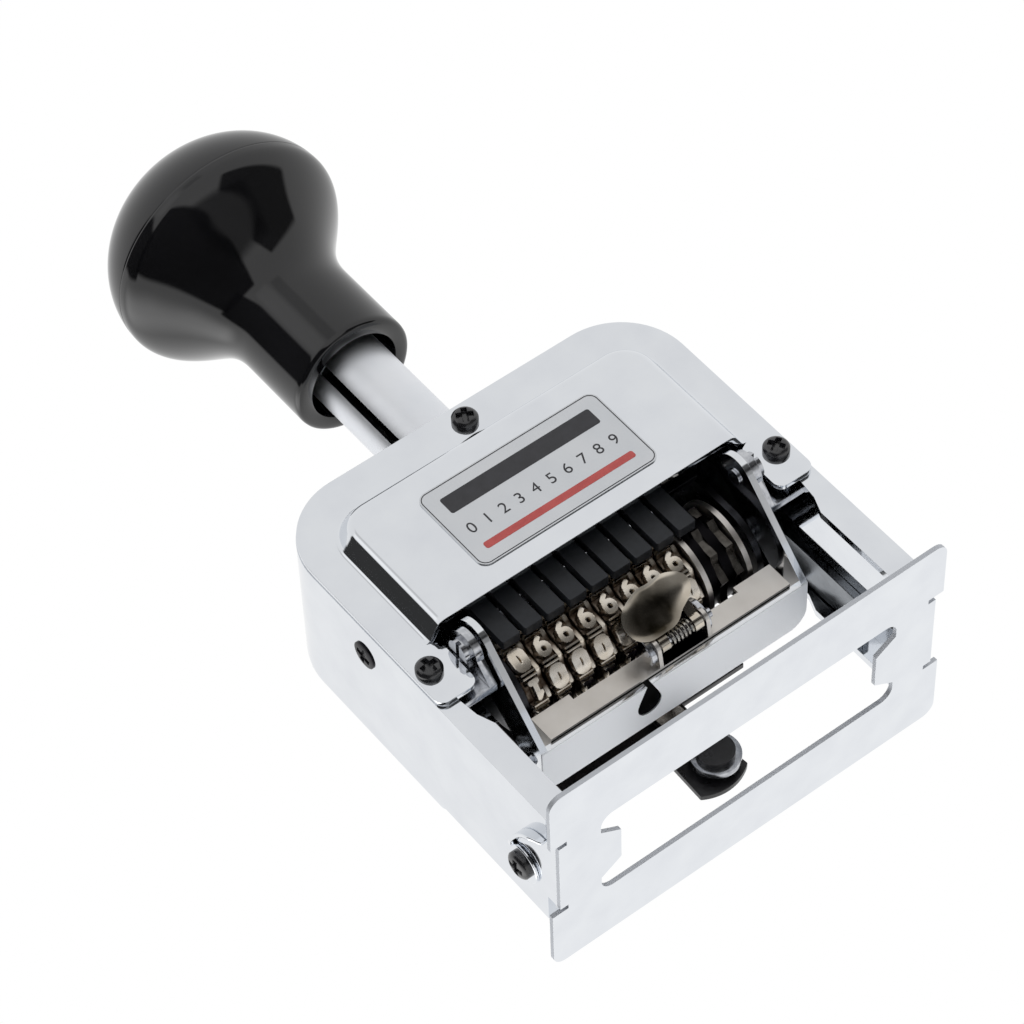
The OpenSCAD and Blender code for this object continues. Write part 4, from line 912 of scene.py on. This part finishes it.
# %% Felt pad
def make_pad(low, high, power=0.22, rows=36, cols=96):
    """Superellipsoid: each half size times sign(s)|s|^power of the usual sphere terms."""
    def soft(value, p):
        return np.sign(value) * np.abs(value) ** p
    lat, lon = np.linspace(-np.pi / 2, np.pi / 2, rows)[:, None], circle(cols)
    c = soft(np.cos(lat), power * 2)
    unit = in_space(c * soft(np.cos(lon), power), c * soft(np.sin(lon), power),
                    soft(np.sin(lat), power * 2))
    low, high = np.array(low) / MM, np.array(high) / MM
    points = (low + high) / 2 + unit * (high - low) / 2
    return make_piece("felt_pad", [grid(points)], ink_felt, "yoke", 180)

pad = make_pad(*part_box("ink_pad"))
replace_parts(pad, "ink_pad")
print("pad triangles:", 2 * len(pad.data.polygons))

# %% [markdown]
# ## Spoon of the pad latch
# The latch is pressed with the thumb on a small polished spoon. It is a shallow dish: an
# oval grid in polar form, deeper in the middle, with two rolled knuckles round its pin.

# %% Spoon
SPOON_MID = (1.7, 4.4)  # mm, (x, s), s up the lean from the pin
SPOON_EDGE = ((-4.2, 5.6), (-4.4, 3.1), (-3.3, 1.3), (0, 1.1), (4.2, 2.6),
              (6.7, 3.8), (7.7, 5.7), (5.6, 7.2), (1.9, 7.4), (-1.8, 6.9))
SPOON_X, SPOON_LEAN, SPOON_DEEP, SPOON_T = 1.9, math.radians(31), 0.42, 0.5
BARREL_X, BARREL_HALF_W, BARREL_GAP = 2.4, 0.7, 2.8

def leaned(x, s, d):
    """A point x across, s up the lean and d out of it, from the pin."""
    sin, cos = math.sin(SPOON_LEAN), math.cos(SPOON_LEAN)
    return in_space(SPOON_X + x, PIN_Y - s * sin - d * cos, PIN_Z + s * cos - d * sin)

def dish(rings=16, sides=72):
    """Polar round the middle: rho times the outline's reach, read between ten places and
    smoothed over seven steps; deeper in the middle by 1 - rho^2, with a raised lip. The
    back is the front moved in by the sheet's thickness, and a rim joins them."""
    rho, a = np.linspace(0, 1, rings)[:, None], circle(sides)
    edge = np.array(SPOON_EDGE) - SPOON_MID
    reach = np.interp(a, np.arctan2(edge[:, 1], edge[:, 0]), np.hypot(edge[:, 0], edge[:, 1]),
                      period=2 * np.pi)
    reach = np.convolve(np.tile(reach, 3), np.ones(7) / 7, "same")[sides:2 * sides]
    x = SPOON_MID[0] - SPOON_X + rho * reach * np.cos(a)
    s = SPOON_MID[1] + rho * reach * np.sin(a)
    d = 1.35 - SPOON_DEEP * (1 - rho ** 2) + 0.10 * np.clip(rho - 0.85, 0, 1) / 0.15 + 0 * a
    front, quads = grid(leaned(x, s, d))
    back = leaned(x * 0.97, 4.3 + (s - 4.3) * 0.97, d - SPOON_T)
    return [(front, quads), (back, quads[:, ::-1]), grid(np.stack((front[-1], back[-1])))]

def knuckle(side):
    """A barrel round the pin, and a strap from it up to the dish."""
    middle, turn = BARREL_X + side * BARREL_GAP, circle(28)
    r = np.array([0.76, 1.3, 1.3, 0.76])[:, None]
    x = middle + BARREL_HALF_W * np.array([-1, -1, 1, 1])[:, None]
    barrel = in_space(x, PIN_Y + r * np.cos(turn), PIN_Z + r * np.sin(turn))
    corners = ((-1, 0.80), (1, 0.80), (1, 0.45), (-1, 0.45))
    strap = np.array([[leaned(middle - SPOON_X + e * BARREL_HALF_W, s, d) for e, d in corners]
                      for s in (0.2, 2.8)])
    return [grid(barrel, "rc"), grid(strap)]

spoon = make_piece("spoon", dish() + knuckle(-1) + knuckle(1), nickel_spoon,
                   "latch", 50)
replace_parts(spoon, "spoon_latch")
print("spoon triangles:", 2 * len(spoon.data.polygons))

# %% [markdown]
# Two curled lugs of the holder reach round the pin's ends. Each is a bent strip like the hook
# washers' tongues, but of even width.

# %% Curled lugs
LUG_STEPS = 36

def lug(x0, x1):
    """From under the holder's lip forward, up and back over the pin."""
    return bent_strip(LUG_STEPS, np.linspace(0, 1, 5), [-4.1, -5.9, -7.2, -7.2, -6.3],
                      [17.0, 16.7, 18.2, 19.9, 21.2], 0.26, x0, x1)

ends = strip_ends(0, LUG_STEPS) + strip_ends(4 * LUG_STEPS, LUG_STEPS)
lugs = make_piece("curled_lugs", [lug(6.35, 7.25), lug(-2.9, -2.0)], bright_screw, "yoke",
                  50, ends)
broken_edge(lugs, 0.1, 2, 50)
print("lug faces:", len(lugs.data.polygons))

# %% [markdown]
# ## Label print
# The plate carries plain marks: a row of the ten figures between two bands, inside a thin
# edge line. Each is a raised film of ink, 0.02 mm thick, on the foil.

# %% Label marks
INK_FRONT, INK_BACK = -15.22, -15.20  # mm, the film's two faces

# Both inks: flat matt print, which stays dark where the foil round it mirrors the tent.
ink_black = coated("printed_black_ink", "#1B1B1E", "#242428", 0.35, 0.05, 0.2, 0.002)
ink_red = coated("printed_red_ink", "#8E3A38", "#9A4441", 0.35, 0.05, 0.2, 0.002)

def film(name, x0, x1, z0, z1, material, corner=0.4):
    """A rounded bar of ink: a fan from its middle to a closed outline of four quarter
    circles, and the outline once more on the foil."""
    c, s = np.cos(circle(40)), np.sin(circle(40))
    x = np.where(c > 0, x1 - corner, x0 + corner) + corner * c
    z = np.where(s > 0, z1 - corner, z0 + corner) + corner * s
    middle = in_space(np.full(40, (x0 + x1) / 2), INK_FRONT, (z0 + z1) / 2)
    rows = np.stack((middle, in_space(x, INK_FRONT, z), in_space(x, INK_BACK, z)))
    return make_piece(name, [grid(rows)], material, "frame", 30)

def border(name, half_x, mid_z, half_z, corner, thick, material):
    """A thin ring of ink: two rounded rectangles, one inside the other, front and back."""
    c, s = np.cos(circle(64)), np.sin(circle(64))
    def outline(inset, depth):
        x = np.sign(c) * (half_x - corner) + (corner - inset) * c
        z = mid_z + np.sign(s) * (half_z - corner) + (corner - inset) * s
        return in_space(x, depth, z)
    rows = np.stack([outline(thick, INK_FRONT), outline(0, INK_FRONT),
                     outline(0, INK_BACK), outline(thick, INK_BACK)])
    return make_piece(name, [grid(rows, "rc")], material, "frame", 30)

def label_figures(text, size, z_mm, material):
    """Plain figures as a mesh, centred on the label: local (x, y) becomes (x, z)."""
    curve = bpy.data.curves.new("figures", "FONT")
    curve.body, curve.size, curve.align_x = text, size * MM, "CENTER"
    curve.extrude, curve.space_character = 0.01 * MM, 1.25
    shape = link(bpy.data.objects.new("figures", curve))
    bpy.context.view_layer.update()
    graph = bpy.context.evaluated_depsgraph_get()
    mesh = bpy.data.meshes.new_from_object(shape.evaluated_get(graph))
    bpy.data.objects.remove(shape)
    x, y, z = points_of(mesh).T
    middle = (INK_FRONT + INK_BACK) / 2 * MM
    mesh.vertices.foreach_set("co", in_space(x, middle - z, y + z_mm * MM).ravel())
    return show("label_figures", mesh, material, "frame")

BAND_X = 12.6
marks = [border("label_edge_line", 14.8, 44.3, 7.3, 1.4, 0.14, ink_black),
         film("label_band_dark", -BAND_X, BAND_X, 46.6, 49.6, ink_black),
         film("label_band_red", -BAND_X, BAND_X, 39.0, 40.2, ink_red),
         label_figures("0 1 2 3 4 5 6 7 8 9", 2.6, 42.3, ink_black)]
print("marks on the label:", len(marks))
